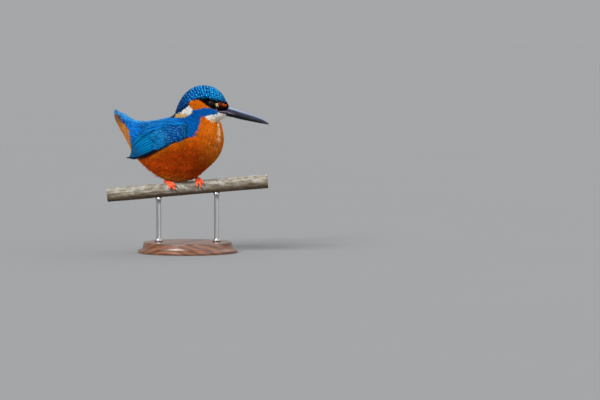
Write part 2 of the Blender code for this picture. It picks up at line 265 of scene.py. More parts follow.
body = {
    # upper end x, z, lower end x, z, half-width, how far down the width lies; one row for each section
    "sections": (
        (40.0, 135.5, 38.6, 127.9, 4.8, 0.48),  # bill base
        (36.9, 141.4, 36.2, 126.1, 7.4, 0.53),  # lores
        (32.3, 148.9, 33.6, 124.6, 10.0, 0.57),  # brow
        (25.0, 154.1, 31.4, 123.4, 12.2, 0.58),  # eye
        (15.0, 155.8, 30.8, 122.5, 13.6, 0.57),  # crown
        (5.1, 153.2, 30.9, 121.6, 14.4, 0.55),  # rear crown
        (-3.4, 146.1, 31.4, 120.8, 14.8, 0.53),  # hind crown
        (-8.7, 137.2, 32.1, 119.6, 15.2, 0.52),  # nape
        (-12.4, 128.6, 33.1, 117.2, 16.2, 0.51),  # hindneck
        (-18.6, 125.8, 34.4, 112.6, 18.0, 0.51),  # mantle
        (-27.2, 124.2, 35.2, 106.0, 20.0, 0.51),  # shoulder
        (-34.6, 122.9, 34.0, 98.0, 21.6, 0.51),  # breast
        (-40.2, 122.2, 29.4, 88.9, 22.6, 0.52),  # low breast
        (-44.0, 122.1, 19.4, 79.0, 23.0, 0.53),  # fore belly
        (-46.8, 122.1, 6.2, 70.4, 22.8, 0.54),  # belly
        (-49.2, 122.2, -9.6, 66.8, 21.8, 0.55),  # low belly
        (-51.2, 122.5, -26.8, 71.8, 19.8, 0.55),  # rear belly
        (-52.8, 122.9, -40.6, 80.4, 17.2, 0.54),  # flank
        (-54.2, 123.2, -50.0, 88.6, 14.8, 0.52),  # vent
        (-55.6, 123.7, -56.0, 98.4, 13.0, 0.50),  # undertail
        (-57.4, 124.5, -61.8, 108.4, 11.6, 0.52),  # tail root
        (-60.4, 126.2, -66.8, 116.4, 10.6, 0.58),  # mid tail
        (-66.0, 129.5, -70.4, 123.0, 7.8, 0.60),  # low tail
        (-71.6, 132.5, -73.4, 130.0, 4.8, 0.55),  # tail tip
    ),
    "headTurn": 11.0,  # degrees to the left
    "turnAxis": 9.0,
    "turnFrom": 5,  # the sections between which the neck takes up the turn
    "turnTo": 10,
    # how deep the skin lies under the feather tips, at section numbers
    "coatPlaces": (0, 2, 6, 9, 13, 17, 20, 23),
    "coatDepths": (0.7, 0.9, 1.2, 1.9, 2.4, 2.2, 1.5, 1.0),
}
lastPlace = len(body["sections"]) - 1


# Points turned about the neck's upright axis by the head's turn, which fades out down the neck
def turnedHead(points, place):
    share = 1 - smooth((place - body["turnFrom"]) / (body["turnTo"] - body["turnFrom"]))
    turn = math.radians(body["headTurn"]) * share
    x, y = points[..., 0] - body["turnAxis"] * mm, points[..., 1]
    return np.stack([
        body["turnAxis"] * mm + x * np.cos(turn) - y * np.sin(turn),
        x * np.sin(turn) + y * np.cos(turn),
        points[..., 2],
    ], -1)


# A point on the plumage: a section is an egg whose upper and lower ends slide along the two profiles, with
# y = -halfWidth sin(angle) and x, z between the ends by (1 - cos(angle)) / 2, pushed toward the wide part
def bodyAt(place, angle, turned=True):
    place, angle = np.broadcast_arrays(np.asarray(place, float), np.asarray(angle, float))
    row = through(body["sections"], place)
    down = (1 - np.cos(angle)) / 2
    down = down + 4 * (row[..., 5] - 0.5) * down * (1 - down)
    x = mix(row[..., 0], row[..., 2], down)
    z = mix(row[..., 1], row[..., 3], down)
    points = np.stack([x, -row[..., 4] * np.sin(angle), z], -1) * mm
    return turnedHead(points, place) if turned else points


# Point, unit vector tailward, outward normal, and the lengths per unit of place and of angle, by small steps
def bodyFrame(place, angle):
    step = 0.02
    low, high = np.clip(place - step, 0, lastPlace), np.clip(place + step, 0, lastPlace)
    tailward = (bodyAt(high, angle) - bodyAt(low, angle)) / (high - low)[..., None]
    around = (bodyAt(place, angle + step) - bodyAt(place, angle - step)) / (2 * step)
    return SimpleNamespace(
        point=bodyAt(place, angle),
        tailward=unit(tailward),
        normal=unit(np.cross(tailward, around)),
        perPlace=np.linalg.norm(tailward, axis=-1),
        perAngle=np.linalg.norm(around, axis=-1),
    )


def coatDepth(place):
    return np.interp(place, body["coatPlaces"], body["coatDepths"]) * mm


# The body's surface drawn in along its normals by the coat's depth
def underCoat(place, angle):
    here = bodyFrame(place, angle)
    return here.point - here.normal * coatDepth(place)[..., None]


wingShape = {
    # outline on the side view from the bend to the tip, x and z
    "lower": ((11.4, 111.4), (4.4, 107.0), (-4.4, 104.0), (-11.3, 100.6),
              (-23.6, 94.4), (-35.2, 89.8), (-45.9, 87.4), (-56.9, 87.2)),
    "upper": ((11.0, 121.2), (3.2, 123.8), (-7.0, 124.6), (-18.0, 123.0),
              (-29.8, 118.6), (-41.0, 111.2), (-50.9, 101.0), (-57.0, 90.2)),
    "rise": 2.4,  # how far the folded wing stands out from the flank
    "bendSide": 12.0,  # how far from the middle the wing lies at least, at its bend and at its tip
    "tipSide": 9.0,
    "long": 80,
    "wide": 26,
}


# The body's half-width on one side at side-view places: the nearest grid point's, or 0 off the body
def flankWidth(x, z, side):
    grid = np.linspace(5, 22, 260), np.linspace(0.04, np.pi - 0.04, 110)
    place, angle = np.meshgrid(*grid, indexing="ij")
    sample = bodyAt(place, -side * angle).reshape(-1, 3)
    sample = sample[sample[:, 1] * side > 0]
    width = np.zeros(x.shape)
    for i in range(len(x)):
        near, away = nearest(sample[:, [0, 2]], x[i], z[i])
        width[i] = np.where(away < (1.0 * mm) ** 2, np.abs(sample[near, 1]), 0)
    return width


# Grid of points on the folded wing's outer face: it keeps to the flank or to a straight floor, whichever is
# wider, stands out by the rise, most along its middle, and sinks under the plumage at its bend and upper edge
def wingSheet(side):
    along = np.linspace(0, 1, wingShape["long"])[:, None]
    across = np.linspace(0, 1, wingShape["wide"])[None, :]
    lower, upper = (through(wingShape[k], along[:, 0] * 7)[:, None] * mm for k in ("lower", "upper"))
    flat = mix(upper, lower, across[..., None])
    flank = flankWidth(flat[..., 0], flat[..., 1], side)
    floor = mix(wingShape["bendSide"], wingShape["tipSide"], along)
    floor = floor * mix(0.45, 1, np.sqrt(np.minimum(1, across / 0.45))) * mm
    bed = (flank + floor + np.hypot(flank - floor, 2 * mm)) / 2
    for _ in range(4):  # evens out the grid's steps
        padded = np.pad(bed, 1, mode="edge")
        bed = (padded[:-2, 1:-1] + padded[2:, 1:-1] + padded[1:-1, :-2] + padded[1:-1, 2:] + 2 * bed) / 6
    crown = np.sqrt(4 * across * (1 - across))
    tipward = np.minimum(1, 3 * (1 - along) + 0.3)
    sunk = smooth((along + 0.02) / 0.16) * smooth((across + 0.10) / 0.30)
    y = side * (bed + wingShape["rise"] * mm * mix(-0.35, 0.6 + 0.4 * crown, sunk) * tipward)
    return np.stack([flat[..., 0], y, flat[..., 1]], -1)


wingSheets = {side: wingSheet(side) for _, side in bothSides}
print("surfaces ready")


# A point of the wing sheet by bilinear steps between its grid points, run on straight past its ends
def wingAt(side, along, across):
    sheet = wingSheets[side]
    a = np.asarray(along, float) * (sheet.shape[0] - 1)
    c = np.asarray(across, float) * (sheet.shape[1] - 1)
    i = np.clip(np.floor(a).astype(int), 0, sheet.shape[0] - 2)
    j = np.clip(np.floor(c).astype(int), 0, sheet.shape[1] - 2)
    s, t = (a - i)[..., None], (c - j)[..., None]
    return mix(mix(sheet[i, j], sheet[i + 1, j], s), mix(sheet[i, j + 1], sheet[i + 1, j + 1], s), t)


def wingNormal(side, along, across):
    step = 0.03
    along, across = np.clip(along, step, 1 - step), np.clip(across, 2 * step, 1 - 2 * step)
    lengthwise = wingAt(side, along + step, across) - wingAt(side, along - step, across)
    crosswise = wingAt(side, along, across + 2 * step) - wingAt(side, along, across - 2 * step)
    return unit(np.cross(lengthwise, crosswise) * -side)


# The markings, the same for the skin and the feathers: outlines on the side view of the straightened head
# and trunk, x and z
marks = {
    "mask": ((11.5, 143.0), (17.6, 143.8), (23.0, 143.6), (27.5, 142.2), (33.2, 140.6), (37.4, 140.0),
             (43.0, 137.0), (43.0, 129.2), (36.0, 129.3), (31.2, 130.6), (31.0, 133.8), (26.1, 134.4),
             (22.3, 136.2), (17.0, 140.4), (13.4, 142.2)),
    "ear": ((3.8, 139.2), (6.4, 141.2), (9.6, 142.2), (13.4, 142.2), (17.0, 140.4), (22.3, 136.2),
            (26.1, 134.4), (31.0, 133.8), (31.0, 133.2), (26.0, 133.8), (22.0, 134.9), (17.0, 134.9),
            (12.0, 133.6), (8.6, 133.8), (6.6, 136.2)),
    "neck": ((6.9, 137.0), (8.8, 134.7), (8.2, 130.8), (4.2, 126.4), (-1.0, 125.4), (-8.4, 126.2),
             (-8.2, 129.0), (-2.8, 131.6), (2.0, 134.8)),
    "malar": ((31.4, 129.2), (31.0, 133.2), (26.0, 133.8), (22.0, 135.0), (17.0, 134.9), (12.0, 133.6),
              (8.3, 133.4), (7.4, 131.2), (4.2, 127.6), (1.5, 125.0), (14.5, 125.6), (20.0, 127.0),
              (26.0, 128.4)),
    "throat": ((26.0, 128.4), (31.0, 129.2), (31.0, 131.0), (36.0, 129.8), (43.0, 129.4), (43.0, 121.8),
               (31.9, 120.8), (27.6, 120.4), (24.4, 122.6), (21.0, 125.4), (20.6, 127.2)),
    "breastSide": ((-2.0, 127.5), (16.6, 126.6), (17.8, 120.0), (17.4, 114.2), (16.2, 110.1), (13.8, 108.6),
                   (6.6, 108.0), (-2.0, 104.0)),
    "spotCenter": (33.6, 137.5),
    "spotHalf": (4.6, 1.7),
    "spotLean": -0.10,
    # the crown's lower edge, where its feathers darken
    "brow": ((-6.0, 131.0), (3.8, 139.6), (9.6, 142.8), (17.6, 143.8), (27.5, 142.2), (37.4, 140.0),
             (43.0, 137.0)),
    "stripe": 6.4,  # half-width of the azure stripe down the back
    # front edge of the orange under the tail, height and x
    "undertail": ((86.0, -49.0), (98.4, -49.0), (101.5, -49.1), (108.9, -50.9), (113.8, -53.6),
                  (121.3, -61.2), (127.5, -67.8), (131.0, -73.5)),
    "partingSide": 4.6,  # how far to the right of the middle the breast feathers part, showing paler bases
}
patches = ("breastSide", "malar", "throat", "neck", "ear", "mask")
number = {name: i for i, name in enumerate(("orange", "crown", "back", "undertail", "spot") + patches)}

colors = {
    "crown": (1, 50, 116), "crownFore": (3, 80, 134), "crownTip": (42, 178, 236), "nape": (1, 22, 74),
    # the cream at the loral spot's rear is a painted highlight
    "mask": (10, 8, 9), "spotFront": (180, 78, 26), "spotMiddle": (44, 18, 8), "spotRear": (240, 214, 160),
    "ear": (212, 94, 4), "earTip": (240, 138, 28), "neck": (255, 253, 248), "neckLow": (240, 196, 100),
    "malar": (1, 64, 146), "malarTip": (11, 124, 208), "breastSide": (1, 72, 150),
    "throat": (255, 250, 240), "throatLow": (244, 208, 160),
    "azure": (14, 116, 194), "azureTip": (66, 168, 224), "rump": (2, 86, 172), "rumpTip": (20, 128, 208),
    "mantle": (1, 78, 140), "mantleTip": (14, 118, 176), "breast": (219, 101, 1),
    # the belly colour is partly the belly's own darker orange and partly painted shade
    "breastTip": (255, 168, 58), "belly": (176, 44, 1), "flank": (209, 112, 7), "vent": (196, 104, 26),
    "undertail": (162, 108, 56), "undertailTip": (174, 110, 50), "undertailTop": (112, 82, 62),
    "parting": (255, 230, 188), "fluff": (224, 158, 66),
}
hue = SimpleNamespace(**{key: linear(value) for key, value in colors.items()})


def sideView(place, angle):  # x, z and distance to the right of the middle, in millimetres
    flat = bodyAt(place, angle, turned=False) / mm
    return flat[..., 0], flat[..., 2], -flat[..., 1]


# Number of the marking at each place: blue above the wing's lower line and over the crown, else orange, then
# the outlined patches in turn
def regionAt(x, z, place):
    region = np.full(x.shape, number["orange"])
    region[(x < 14) & (z > lineAt(wingShape["lower"], x) + 1.5)] = number["back"]
    region[(place < 8.6) & (z > np.interp(x, (-14, 6, 10, 40), (124, 128, 134, 134)))] = number["crown"]
    region[(place > 16.3) & (x < lineAt(marks["undertail"], z)) & (z > 84)] = number["undertail"]
    near = (place < 13) & (z > 100)
    for name in patches:
        region[near & inside(marks[name], x, z)] = number[name]
    (middleX, middleZ), (halfLong, halfHigh) = marks["spotCenter"], marks["spotHalf"]
    spotX = (x - middleX) / halfLong
    spotZ = (z - middleZ - marks["spotLean"] * (x - middleX)) / halfHigh
    region[near & (spotX**2 + spotZ**2 < 1)] = number["spot"]
    return region


# Soft streaks a few millimetres wide that run down the breast and back along the belly: a sum of sines
def streaks(x, z, y):
    total = np.zeros(x.shape)
    own = np.random.default_rng(21)
    for _ in range(14):
        across, down = own.normal(0, 0.55), own.normal(0, 0.55)
        total += np.sin(across * (y * 1.2 + 0.35 * z) + down * (z + 0.35 * x) + own.uniform(0, 6.3))
    return np.clip(total / 4, -1, 1)


# Colour of a feather's body and of its tip, by marking and by where it grows
def baseAndTip(region, x, z, y):
    base, tip = np.zeros(x.shape + (3,)), np.zeros(x.shape + (3,))
    x, z, y = x[:, None], z[:, None], y[:, None]

    def paint(name, low, high=None):
        here = region == number[name]
        base[here] = np.broadcast_to(low, base.shape)[here]
        tip[here] = np.broadcast_to(low if high is None else high, base.shape)[here]

    rear = smooth((8 - x) / 16)
    dim = 1 - 0.75 * smooth((lineAt(marks["brow"], x) + 2.4 - z) / 1.8)
    top = mix(mix(hue.crown, hue.crownFore, smooth((x - 14) / 16)), hue.nape, rear)
    paint("crown", top * dim, mix(hue.crownTip, hue.malar, 0.75 * rear) * dim)

    paint("mask", hue.mask)
    # Loral spot: orange in front, dark brown in the middle and cream at the rear, the cream a painted
    # highlight
    spot = (x - marks["spotCenter"][0]) / marks["spotHalf"][0]
    front = smooth((spot + 0.55 * (z - marks["spotCenter"][1]) - 0.05) / 0.5)
    paint("spot", mix(mix(hue.spotRear, hue.spotMiddle, smooth((spot + 0.75) / 0.4)), hue.spotFront, front))
    dusk = 0.75 * smooth((x - 21.5) / 3)
    paint("ear", mix(hue.ear, hue.spotMiddle, dusk), mix(mix(hue.ear, hue.earTip, 0.7), hue.spotMiddle, dusk))
    paint("neck", mix(hue.neck, hue.neckLow, smooth((131.0 - z) / 3.0) * smooth((7 - x) / 4)))
    paint("malar", hue.malar, hue.malarTip)
    low = smooth((124.6 - z) / 2.4)
    paint("throat", mix(hue.throat, hue.throatLow, low), mix(hue.neck, hue.throatLow, low))
    paint("breastSide", hue.breastSide, hue.malarTip)

    stripe = smooth((marks["stripe"] + 1.5 - np.abs(y)) / 3.0)
    rump = smooth((-30 - x) / 14)
    hem = 1.2 - (x - lineAt(marks["undertail"], z)) / 3.5
    hemShade = 1 - 0.8 * smooth(hem) * smooth((z - 112) / 8)
    side, sideTip = mix(hue.mantle, hue.rump, rump), mix(hue.mantleTip, hue.rumpTip, rump)
    paint("back", mix(side, hue.azure, stripe) * hemShade, mix(sideTip, hue.azureTip, stripe) * hemShade)
    dull = smooth((z - 116) / 10)
    under, underTip = (mix(low, hue.undertailTop, dull) for low in (hue.undertail, hue.undertailTip))
    paint("undertail", under, underTip)

    # Orange deepens to the belly colour lower down and rearward: partly the belly's own darker colour, partly
    # painted shade
    orange = mix(hue.breast, hue.belly, smooth((112 - z) / 21) * smooth((35 - x) / 17))
    underWing = smooth(1 - (lineAt(wingShape["lower"], x) - z) / 11)
    underWing = underWing * smooth((16 - x) / 10) * smooth((x + 33) / 14)
    orange = mix(orange, hue.flank, 0.8 * underWing)
    vent = smooth((-34 - x) / 14) * smooth((92 - z) / 8) * 0.15 + smooth((75 - z) / 6) * 0.8
    orange = mix(orange, hue.vent, 0.55 * np.clip(vent, 0, 1))
    tips = mix(orange, hue.breastTip, 0.15 + 0.3 * smooth((x - 12) / 20))
    fluff = smooth((72 - z) / 4) + 0.6 * smooth((-38 - x) / 12) * smooth((84 - z) / 8)
    tips = mix(tips, hue.fluff, 0.5 * np.clip(fluff, 0, 1))
    parting = smooth(1.5 - np.abs(y - marks["partingSide"] - 0.12 * (116 - z)) / 1.3)
    parting = parting * smooth((x - 24) / 4) * smooth((z - 92) / 16)
    # Streaks vary the tone, and toward the rear the belly is darkened by painted shade
    orange = orange * ((1 + 0.3 * streaks(x, z, y)) * (1 - 0.36 * smooth((-22 - x) / 14)))
    paint("orange", mix(orange, hue.parting, 0.5 * parting), mix(tips, hue.parting, parting))
    return base, tip


# A value, a screen colour or another node's output for a socket
def give(tree, socket, value):
    if isinstance(value, bpy.types.NodeSocket):
        tree.links.new(value, socket)
    else:
        socket.default_value = (*linear(value), 1) if socket.type == "RGBA" else value


def addNode(tree, kind, inputs=None, **settings):
    node = tree.nodes.new(kind)
    for key, value in settings.items():
        setattr(node, key, value)
    for key, value in (inputs or {}).items():
        give(tree, node.inputs[key], value)
    return node


def calc(tree, operation, *values):
    return addNode(tree, "ShaderNodeMath", dict(enumerate(values)), operation=operation).outputs[0]


def mixColor(tree, factor, a, b, blend="MIX"):
    inputs = {0: factor, 6: a, 7: b}
    return addNode(tree, "ShaderNodeMix", inputs, data_type="RGBA", blend_type=blend).outputs[2]


def ramp(tree, factor, low, high, outLow=0.0, outHigh=1.0):
    inputs = {"Value": factor, "From Min": low, "From Max": high, "To Min": outLow, "To Max": outHigh}
    return addNode(tree, "ShaderNodeMapRange", inputs).outputs[0]


# Colours laid over one another, each by at most a share where its mask runs from low to high
def layered(tree, color, layers):
    for mask, low, high, most, tone in layers:
        color = mixColor(tree, ramp(tree, mask, low, high, 0, most), color, tone)
    return color


def attribute(tree, name, output="Fac"):
    return addNode(tree, "ShaderNodeAttribute", attribute_name=name).outputs[output]


def noise(tree, where, scale, detail, roughness=0.5):
    inputs = {"Vector": where, "Scale": scale, "Detail": detail, "Roughness": roughness}
    return addNode(tree, "ShaderNodeTexNoise", inputs).outputs["Fac"]


def scaled(tree, where, scale):  # coordinates times a scale for each axis
    return addNode(tree, "ShaderNodeVectorMath", {0: where, 1: scale}, operation="MULTIPLY").outputs[0]


def objectPlace(tree):
    return addNode(tree, "ShaderNodeTexCoord").outputs["Object"]


def newGroup(name, inputs, outputs):
    group = bpy.data.node_groups.new(name, "ShaderNodeTree")
    for label, value in inputs.items():
        kind = "NodeSocketVector" if isinstance(value, tuple) else "NodeSocketFloat"
        group.interface.new_socket(label, in_out="INPUT", socket_type=kind).default_value = value
    for label in outputs:
        group.interface.new_socket(label, in_out="OUTPUT", socket_type="NodeSocketFloat")
    return group, group.nodes.new("NodeGroupInput").outputs, group.nodes.new("NodeGroupOutput").inputs


# Fine barbs of a vane: a sine of (distance along - slant * distance from the shaft), broken by noise
def barbGroup():
    group, given, out = newGroup(
        "barbLines", {"Vane": (0, 0, 0), "Count": 30.0, "Slant": 0.8}, ("Line", "Blotch"))
    split = addNode(group, "ShaderNodeSeparateXYZ", {0: given["Vane"]})
    slanted = calc(group, "MULTIPLY", calc(group, "ABSOLUTE", split.outputs[0]), given["Slant"])
    reach = calc(group, "SUBTRACT", split.outputs[1], slanted)
    blotch = noise(group, given["Vane"], 9.0, 2.0)
    bent = calc(group, "ADD", reach, calc(group, "MULTIPLY", blotch, 0.16))
    turns = calc(group, "MULTIPLY", bent, given["Count"])
    wave = calc(group, "SINE", calc(group, "MULTIPLY", turns, 2 * math.pi))
    give(group, out["Line"], calc(group, "MULTIPLY_ADD", wave, 0.5, 0.5))
    give(group, out["Blotch"], blotch)
    return group


# Two sizes of noise on the object's own coordinates, stretched by a scale for each axis
def grainGroup():
    group, given, out = newGroup(
        "fineGrain", {"Scale": (1, 1, 1), "Coarse": 100.0, "Fine": 900.0}, ("Coarse", "Fine", "Both"))
    stretched = scaled(group, objectPlace(group), given["Scale"])
    coarse, fine = (noise(group, stretched, given[key], 4.0, 0.6) for key in ("Coarse", "Fine"))
    give(group, out["Coarse"], coarse)
    give(group, out["Fine"], fine)
    give(group, out["Both"], calc(group, "MULTIPLY_ADD", fine, 0.4, calc(group, "MULTIPLY", coarse, 0.6)))
    return group


barbLines = barbGroup()
fineGrain = grainGroup()


def useGroup(tree, group, inputs):
    return addNode(tree, "ShaderNodeGroup", inputs, node_tree=group).outputs


def useGrain(tree, coarse, fine, scale=(1, 1, 1)):
    return useGroup(tree, fineGrain, {"Scale": scale, "Coarse": coarse, "Fine": fine})


def newMaterial(name, specular, **more):
    material = bpy.data.materials.new(name)
    material.use_nodes = True
    tree = material.node_tree
    shader = tree.nodes["Principled BSDF"]
    give(tree, shader.inputs["Specular IOR Level"], specular)
    for key, value in more.items():
        give(tree, shader.inputs[key.replace("_", " ")], value)
    return material, tree, shader


def surfaced(tree, shader, color, roughness, height=None, strength=0.0, distance=0.0):
    give(tree, shader.inputs["Base Color"], color)
    give(tree, shader.inputs["Roughness"], roughness)
    if height is not None:
        inputs = {"Height": height, "Strength": strength, "Distance": distance}
        give(tree, shader.inputs["Normal"], addNode(tree, "ShaderNodeBump", inputs).outputs[0])


featherLooks = {
    "blue": {"barbs": 34.0, "slant": 0.9, "contrast": 0.28, "roughness": 0.45, "specular": 0.12,
             "sheen": (0, 110, 255)},
    "soft": {"barbs": 22.0, "slant": 0.4, "contrast": 0.10, "roughness": 0.75, "specular": 0.03,
             "sheen": (255, 200, 120)},
}


# The feather's own painted colour, its barbs as fine darker lines and bump, and a faint gloss of its own hue
def featherMaterial(name):
    look = featherLooks[name]
    material, tree, shader = newMaterial(name + "Feather", look["specular"], Specular_Tint=look["sheen"])
    vane = addNode(tree, "ShaderNodeUVMap", uv_map="vane").outputs[0]
    barbs = useGroup(tree, barbLines, {"Vane": vane, "Count": look["barbs"], "Slant": look["slant"]})
    shade = ramp(tree, barbs["Line"], 0, 1, 1 - look["contrast"], 1)
    shade = calc(tree, "MULTIPLY", shade, ramp(tree, barbs["Blotch"], 0.3, 0.7, 0.88, 1.1))
    color = mixColor(tree, 1.0, attribute(tree, "tint", "Color"), shade, "MULTIPLY")
    roughness = ramp(tree, barbs["Blotch"], 0.3, 0.7, look["roughness"] - 0.08, look["roughness"] + 0.1)
    surfaced(tree, shader, color, roughness, barbs["Line"], 0.35, 0.00006)
    return material


featherFinishes = {name: featherMaterial(name) for name in featherLooks}
print("materials for feathers ready")

# a ring round a feather: how far each point is to the side, and how far up, in half-widths and thicknesses
featherRings = {
    "strand": ((-1, 0, 1), (-0.3, 1, -0.3)),
    "scale": ((-1, -0.5, 0, 0.5, 1, 0), (0, 0.6, 1, 0.6, 0, -0.5)),
    "vane": ((-1, -0.6, -0.25, 0, 0.25, 0.6, 1, 0.6, 0, -0.6),
             (0, 0.35, 0.6, 1.3, 0.6, 0.35, 0, -0.35, -0.6, -0.35)),
}


# Closed vanes along rows of centre points, with a ring at each point between root and tip. A ring point is
# centre + across * halfWidth * side + up * (thick * lift - bow * halfWidth * side squared). rootMap and patch
# are each feather's middle and size in the bake map; paint gives its colour at shares along and across
def feathers(name, ring, centers, normals, halfWidth, thick, bow, rootMap, patch, paint, finish="blue"):
    shares, lifts = (np.array(v, float) for v in featherRings[ring])
    n, rows = centers.shape[:2]
    columns = len(shares)
    ahead = unit(np.gradient(centers, axis=1))
    across = unit(np.cross(ahead, normals))
    up = np.cross(across, ahead)
    inner = slice(1, rows - 1)
    width = halfWidth[:, inner, None]
    offset = across[:, inner, None] * width[..., None] * shares[:, None]
    rise = thick * mm * lifts - bow * width * shares**2
    ringPoints = centers[:, inner, None] + offset + up[:, inner, None] * rise[..., None]
    points = np.concatenate([ringPoints.reshape(n, -1, 3), centers[:, :1], centers[:, -1:]], 1)
    per = points.shape[1]
    quads, tris = tubeFaces(rows - 2, columns)
    starts = (np.arange(n) * per)[:, None, None]
    sideOf = np.concatenate([np.tile(shares, rows - 2), [0, 0]])
    alongOf = np.concatenate([np.repeat(np.linspace(0, 1, rows)[inner], columns), [0, 1]])
    lengths = np.linalg.norm(np.diff(centers, axis=1), axis=-1).sum(1)
    vane = np.stack([sideOf * halfWidth.max(1)[:, None], alongOf * lengths[:, None]], -1) / (10 * mm)
    bake = rootMap[:, None] + np.array(patch) * np.stack([sideOf / 2, alongOf - 0.5], -1)
    tint = np.broadcast_to(paint(alongOf[None, :, None], sideOf[None, :, None]), (n, per, 3))
    maps = {"vane": vane.reshape(-1, 2), "OFBake": np.clip(bake, 0, 1).reshape(-1, 2)}
    faces = (starts + quads).reshape(-1, 4), (starts + tris).reshape(-1, 3)
    piece = newPiece(name, points.reshape(-1, 3), *faces, maps, tint.reshape(-1, 3))
    finished(piece, featherFinishes[finish], "plumage")


# Roots' places on the skin's unwrap: section number up and angle across, over the piece's own part
def unwrap(place, angle, places, angles):
    u = 0.02 + 0.96 * (angle - angles[0]) / (angles[1] - angles[0])
    v = 0.02 + 0.96 * (place - places[0]) / (places[1] - places[0])
    return np.stack([u, v], -1)


# A strip of the bake map for each long feather: their middles, and the size of each
def ownStrips(count):
    strip = 0.92 / count
    middles = np.stack([0.04 + strip * (np.arange(count) + 0.5), np.full(count, 0.5)], -1)
    return middles, (strip * 0.86, 0.94)


eye = {
    "radius": 3.7,
    "place": (24.5, 139.1),
    "aim": (0.30, 0.04),  # forward and up, as shares of the way out
    "lens": 0.35,  # how far the cornea bulges over the ball
    "pupil": 30.0,  # degrees from the eye's axis
    "iris": 50.0,
    "colors": ((3, 3, 4), (36, 21, 13), (8, 6, 6)),  # pupil, iris, rim
    "lidInner": 2.95,
    "lidThick": 0.55,
}


def eyeCenter(name):
    low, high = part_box(name)
    return (np.array(low) + np.array(high)) / 2


def eyeAxis(side):
    turn = math.radians(body["headTurn"])
    ahead, up = eye["aim"]
    return unit(np.array([
        ahead * math.cos(turn) - side * math.sin(turn),
        ahead * math.sin(turn) + side * math.cos(turn),
        up,
    ]))


# Two unit vectors square to an axis, the second as near upright as can be
def crossAxes(axis):
    first = unit(np.cross([0, 0, 1.0], axis))
    return first, np.cross(axis, first)


def eyeMaterial():
    material, tree, shader = newMaterial("wetEye", 0.14)
    grain = useGrain(tree, 900.0, 2600.0)
    wander = calc(tree, "MULTIPLY_ADD", grain["Both"], 6.0, attribute(tree, "fromAxis"))
    pupil, iris, rim = eye["colors"]
    color = mixColor(tree, ramp(tree, wander, eye["pupil"] - 1, eye["pupil"] + 2), pupil, iris)
    color = mixColor(tree, ramp(tree, wander, eye["iris"] - 4, eye["iris"] + 3), color, rim)
    surfaced(tree, shader, color, 0.05)
    return material


# A ball round the eye's axis: its radius plus a low bulge, lens * cos(2 * angle) under 45 degrees
def makeEye(name, side, material):
    axis = eyeAxis(side)
    first, second = crossAxes(axis)
    away = np.linspace(0.02, math.pi - 0.02, 56)[:, None, None]
    turn = circle(72)[None, :, None]
    radius = (eye["radius"] + eye["lens"] * np.clip(np.cos(2 * away), 0, 1) * (away < 1)) * mm
    outward = axis * np.cos(away) + np.sin(away) * (first * np.cos(turn) + second * np.sin(turn))
    angles = np.concatenate([np.repeat(np.degrees(away[:, 0, 0]), 72), [0, 180]])
    rings = eyeCenter(name) + radius * outward
    closedPiece(name + "_ball", rings, material, "eye", name, values={"fromAxis": angles})


wetEye = eyeMaterial()
for sideName, side in bothSides:
    makeEye("eye_" + sideName, side, wetEye)
print("eyes ready")

perch = {
    "radius": 6.4,
    "length": 150.0,
    "height": 60.0,
    "turn": 20.0,  # degrees, from the way the trunk faces
    "slope": 5.0,
    "uneven": 0.02,
}
perchTurn, perchSlope = math.radians(perch["turn"]), math.radians(perch["slope"])
perchAlong = np.array([
    math.cos(perchTurn) * math.cos(perchSlope),
    math.sin(perchTurn) * math.cos(perchSlope),
    math.sin(perchSlope),
])
perchFront = np.array([math.sin(perchTurn), -math.cos(perchTurn), 0])
perchUp = np.cross(perchFront, perchAlong)
perchMiddle = np.array([0, 0, perch["height"]])


# Over the bark: a distance along, degrees from the top toward the front, and a height, in millimetres
def onPerch(distance, degrees, height):
    distance, degrees, height = (np.asarray(v, float)[..., None] for v in (distance, degrees, height))
    turn = np.radians(degrees)
    out = perchUp * np.cos(turn) + perchFront * np.sin(turn)
    return (perchMiddle + perchAlong * distance + out * (perch["radius"] + height)) * mm


feet = {
    "right": {"place": -19.0, "root": (-22.5, -8.0, 74.0), "lean": 0.50},
    "left": {"place": 10.0, "root": (-0.5, 5.5, 74.5), "lean": 0.05},
    "tarsus": 1.35,
    "toe": 1.15,
    "gap": 0.3,  # over the bark
    "start": -8.0,  # degrees round the perch where the toes begin
    # shift along the perch, degrees round it at the end, own lean
    "toes": ((-1.9, 84, 0.10), (0.0, 92, 0.24), (2.0, 66, 0.42), (0.4, -58, -0.25)),
    "scales": ((176, 40, 14), (226, 60, 12), (250, 108, 36)),  # lines, dark and pale
    "claw": (0.60, 0.14),  # radius at the root and at the tip
    "clawAngle": 22.0,
    "horn": ((14, 12, 13), (58, 48, 44)),
    "voxel": 0.24,  # of the remesh that welds toes to tarsus
}


def toePath(foot, toe, t):
    shift, end, lean = toe
    degrees = mix(feet["start"], end, t)
    arc = np.radians(degrees) * perch["radius"]
    radius = feet["toe"] * (1.08 - 0.25 * t)
    distance = foot["place"] + shift * (0.4 + 0.6 * np.minimum(t, 1)) + arc * (foot["lean"] + lean)
    return distance, degrees, radius


# A toe round the bark whose radius swells at the joints' pads and dips between the scutes
def toeTube(foot, toe):
    t = np.linspace(0, 1, 40)
    distance, degrees, radius = toePath(foot, toe, t)
    pads = 0.07 * np.cos(t * 2 * math.pi * 3) + 0.025 * np.cos(t * 2 * math.pi * 13)
    radius = radius * (1 + pads) * (1 - 0.35 * smooth((t - 0.9) / 0.1))
    return tubeRings(onPerch(distance, degrees, radius + feet["gap"]), radius * mm, 20)


# A leg straight from above its root down to the ball of the foot, wider at both ends and faintly ringed
def tarsusTube(foot):
    ball = onPerch(foot["place"], feet["start"], feet["toe"] + feet["gap"] + 0.15)
    root = np.array(foot["root"]) * mm
    t = np.linspace(-0.35, 1, 36)
    radius = feet["tarsus"] * np.interp(t, (0, 0.3, 0.6, 0.9, 1), (1.3, 1.08, 0.98, 1.0, 1.1))
    return tubeRings(root + (ball - root) * t[:, None], radius * (1 + 0.02 * np.cos(t * 60)) * mm, 24)


